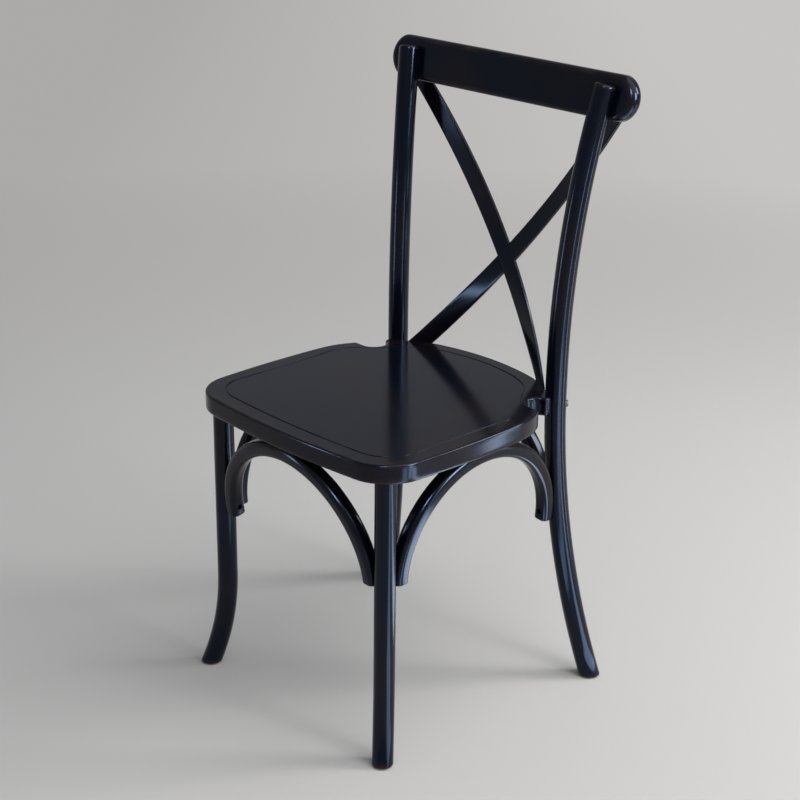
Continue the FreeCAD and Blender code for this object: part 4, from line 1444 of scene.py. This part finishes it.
@dataclass
class Studio:
    """The floor, the surround, the lights and the camera. Floor cards lie face up at their targets."""

    floor: PaleFloor = PaleFloor()
    floor_half: float = 30.0
    softboxes: tuple[Softbox, ...] = (
        Softbox("rear_window", 50.0, 28.0, 3.0, (0.8, 1.0), 34.0),
        Softbox("side_window", 8.0, 20.0, 2.6, (0.5, 1.3), 12.0),
        Softbox("high_card", -50.0, 40.0, 3.2, (0.7, 0.7), 55.0, card=True),
        Softbox("ceiling", 22.0, 58.0, 4.6, (5.0, 5.0), 150.0),
        Softbox("side_card", 16.0, 21.0, 3.0, (1.0, 1.1), 110.0, card=True),
        Softbox("low_card_right", 0.0, 0.0, 1.0, (0.08, 0.6), 1.4, (0.0, 0.0, 0.31), True),
        Softbox("low_card_rear", 40.0, 0.0, 1.0, (0.08, 0.6), 1.4, (0.0, 0.0, 0.31), True),
        Softbox("low_card_front", -117.0, 0.0, 1.0, (0.10, 0.4), 1.5, (0.0, 0.0, 0.48), True),
        Softbox("floor_card_front", 0.0, -90.0, 0.0, (0.18, 1.3), 3.4, (0.95, -0.18, 0.002), True),
        Softbox("floor_card_rear", 0.0, -90.0, 0.0, (0.20, 1.3), 6.2, (0.95, 0.22, 0.002), True),
    )
    camera_place: Triple = (1.68948, -1.60708, 1.34965)
    camera_yaw: float = 0.8093004
    camera_pitch: float = 0.3745403
    camera_roll: float = 0.0114823
    camera_lens_mm: float = 77.90
    camera_sensor_mm: float = 36.0

    def world(self) -> None:
        """A pale surround that lights the chair from all around and is the picture's background."""
        world = bpy.data.worlds.new("studio_surround")
        bpy.context.scene.world = world
        world.use_nodes = True
        book = NodeBook(world.node_tree)
        shader = book.add("ShaderNodeBackground", {}, {"Color": self.floor.surround})
        book.add("ShaderNodeOutputWorld", {}, {"Surface": shader})

    def lay_floor(self) -> None:
        """One square at height 0, which holds the chair's shadow."""
        corners = np.array([(-1, -1, 0), (1, -1, 0), (1, 1, 0), (-1, 1, 0)])
        mesh = bpy.data.meshes.new("floor")
        mesh.from_pydata(corners * self.floor_half, [], [(0, 1, 2, 3)])
        mesh.materials.append(self.floor.material())
        added("floor", mesh)

    def camera(self) -> None:
        """The photograph's viewing angle. The right is (cos yaw, sin yaw, 0), the view ahead is level ahead
        x cos pitch - up x sin pitch, and the roll turns right and upward about it."""
        pitch, roll = self.camera_pitch, self.camera_roll
        right = np.array([math.cos(self.camera_yaw), math.sin(self.camera_yaw), 0.0])
        ahead = np.cross(UP, right) * math.cos(pitch) - UP * math.sin(pitch)
        upward = np.cross(right, ahead)
        right, upward = (math.cos(roll) * right + math.sin(roll) * upward,
                         math.cos(roll) * upward - math.sin(roll) * right)
        data = bpy.data.cameras.new("photo_angle")
        data.lens, data.sensor_width = self.camera_lens_mm, self.camera_sensor_mm
        bpy.context.scene.camera = added("photo_angle", data, (right, upward, -ahead), self.camera_place)

    def build(self) -> None:
        """Sets the studio up."""
        bpy.context.scene.view_settings.view_transform = "Standard"
        self.world()
        self.lay_floor()
        for softbox in self.softboxes:
            softbox.build()
        self.camera()
        log.info("the studio is set up")


def main() -> None:
    """Builds the studio and the chair's pieces in order."""
    logging.basicConfig(level=logging.INFO, format="%(message)s")
    Studio().build()
    shop = Workshop(SeatBoard.front_reach, Lacquer().material())
    legs, seat = Legs(shop), SeatBoard(shop)
    rail = CrestRail(shop, legs.rear_post())
    strips = CrossStrips(shop, rail, seat)
    legs.build()
    Arches(shop, legs).build()
    rail.build()
    strips.build()
    seat.build(seat.nut_bores(legs) + strips.foot_recesses())
    Fittings(DarkenedSteel().material(), ScuffedNylon().material()).dress()


if __name__ == "__main__":
    main()
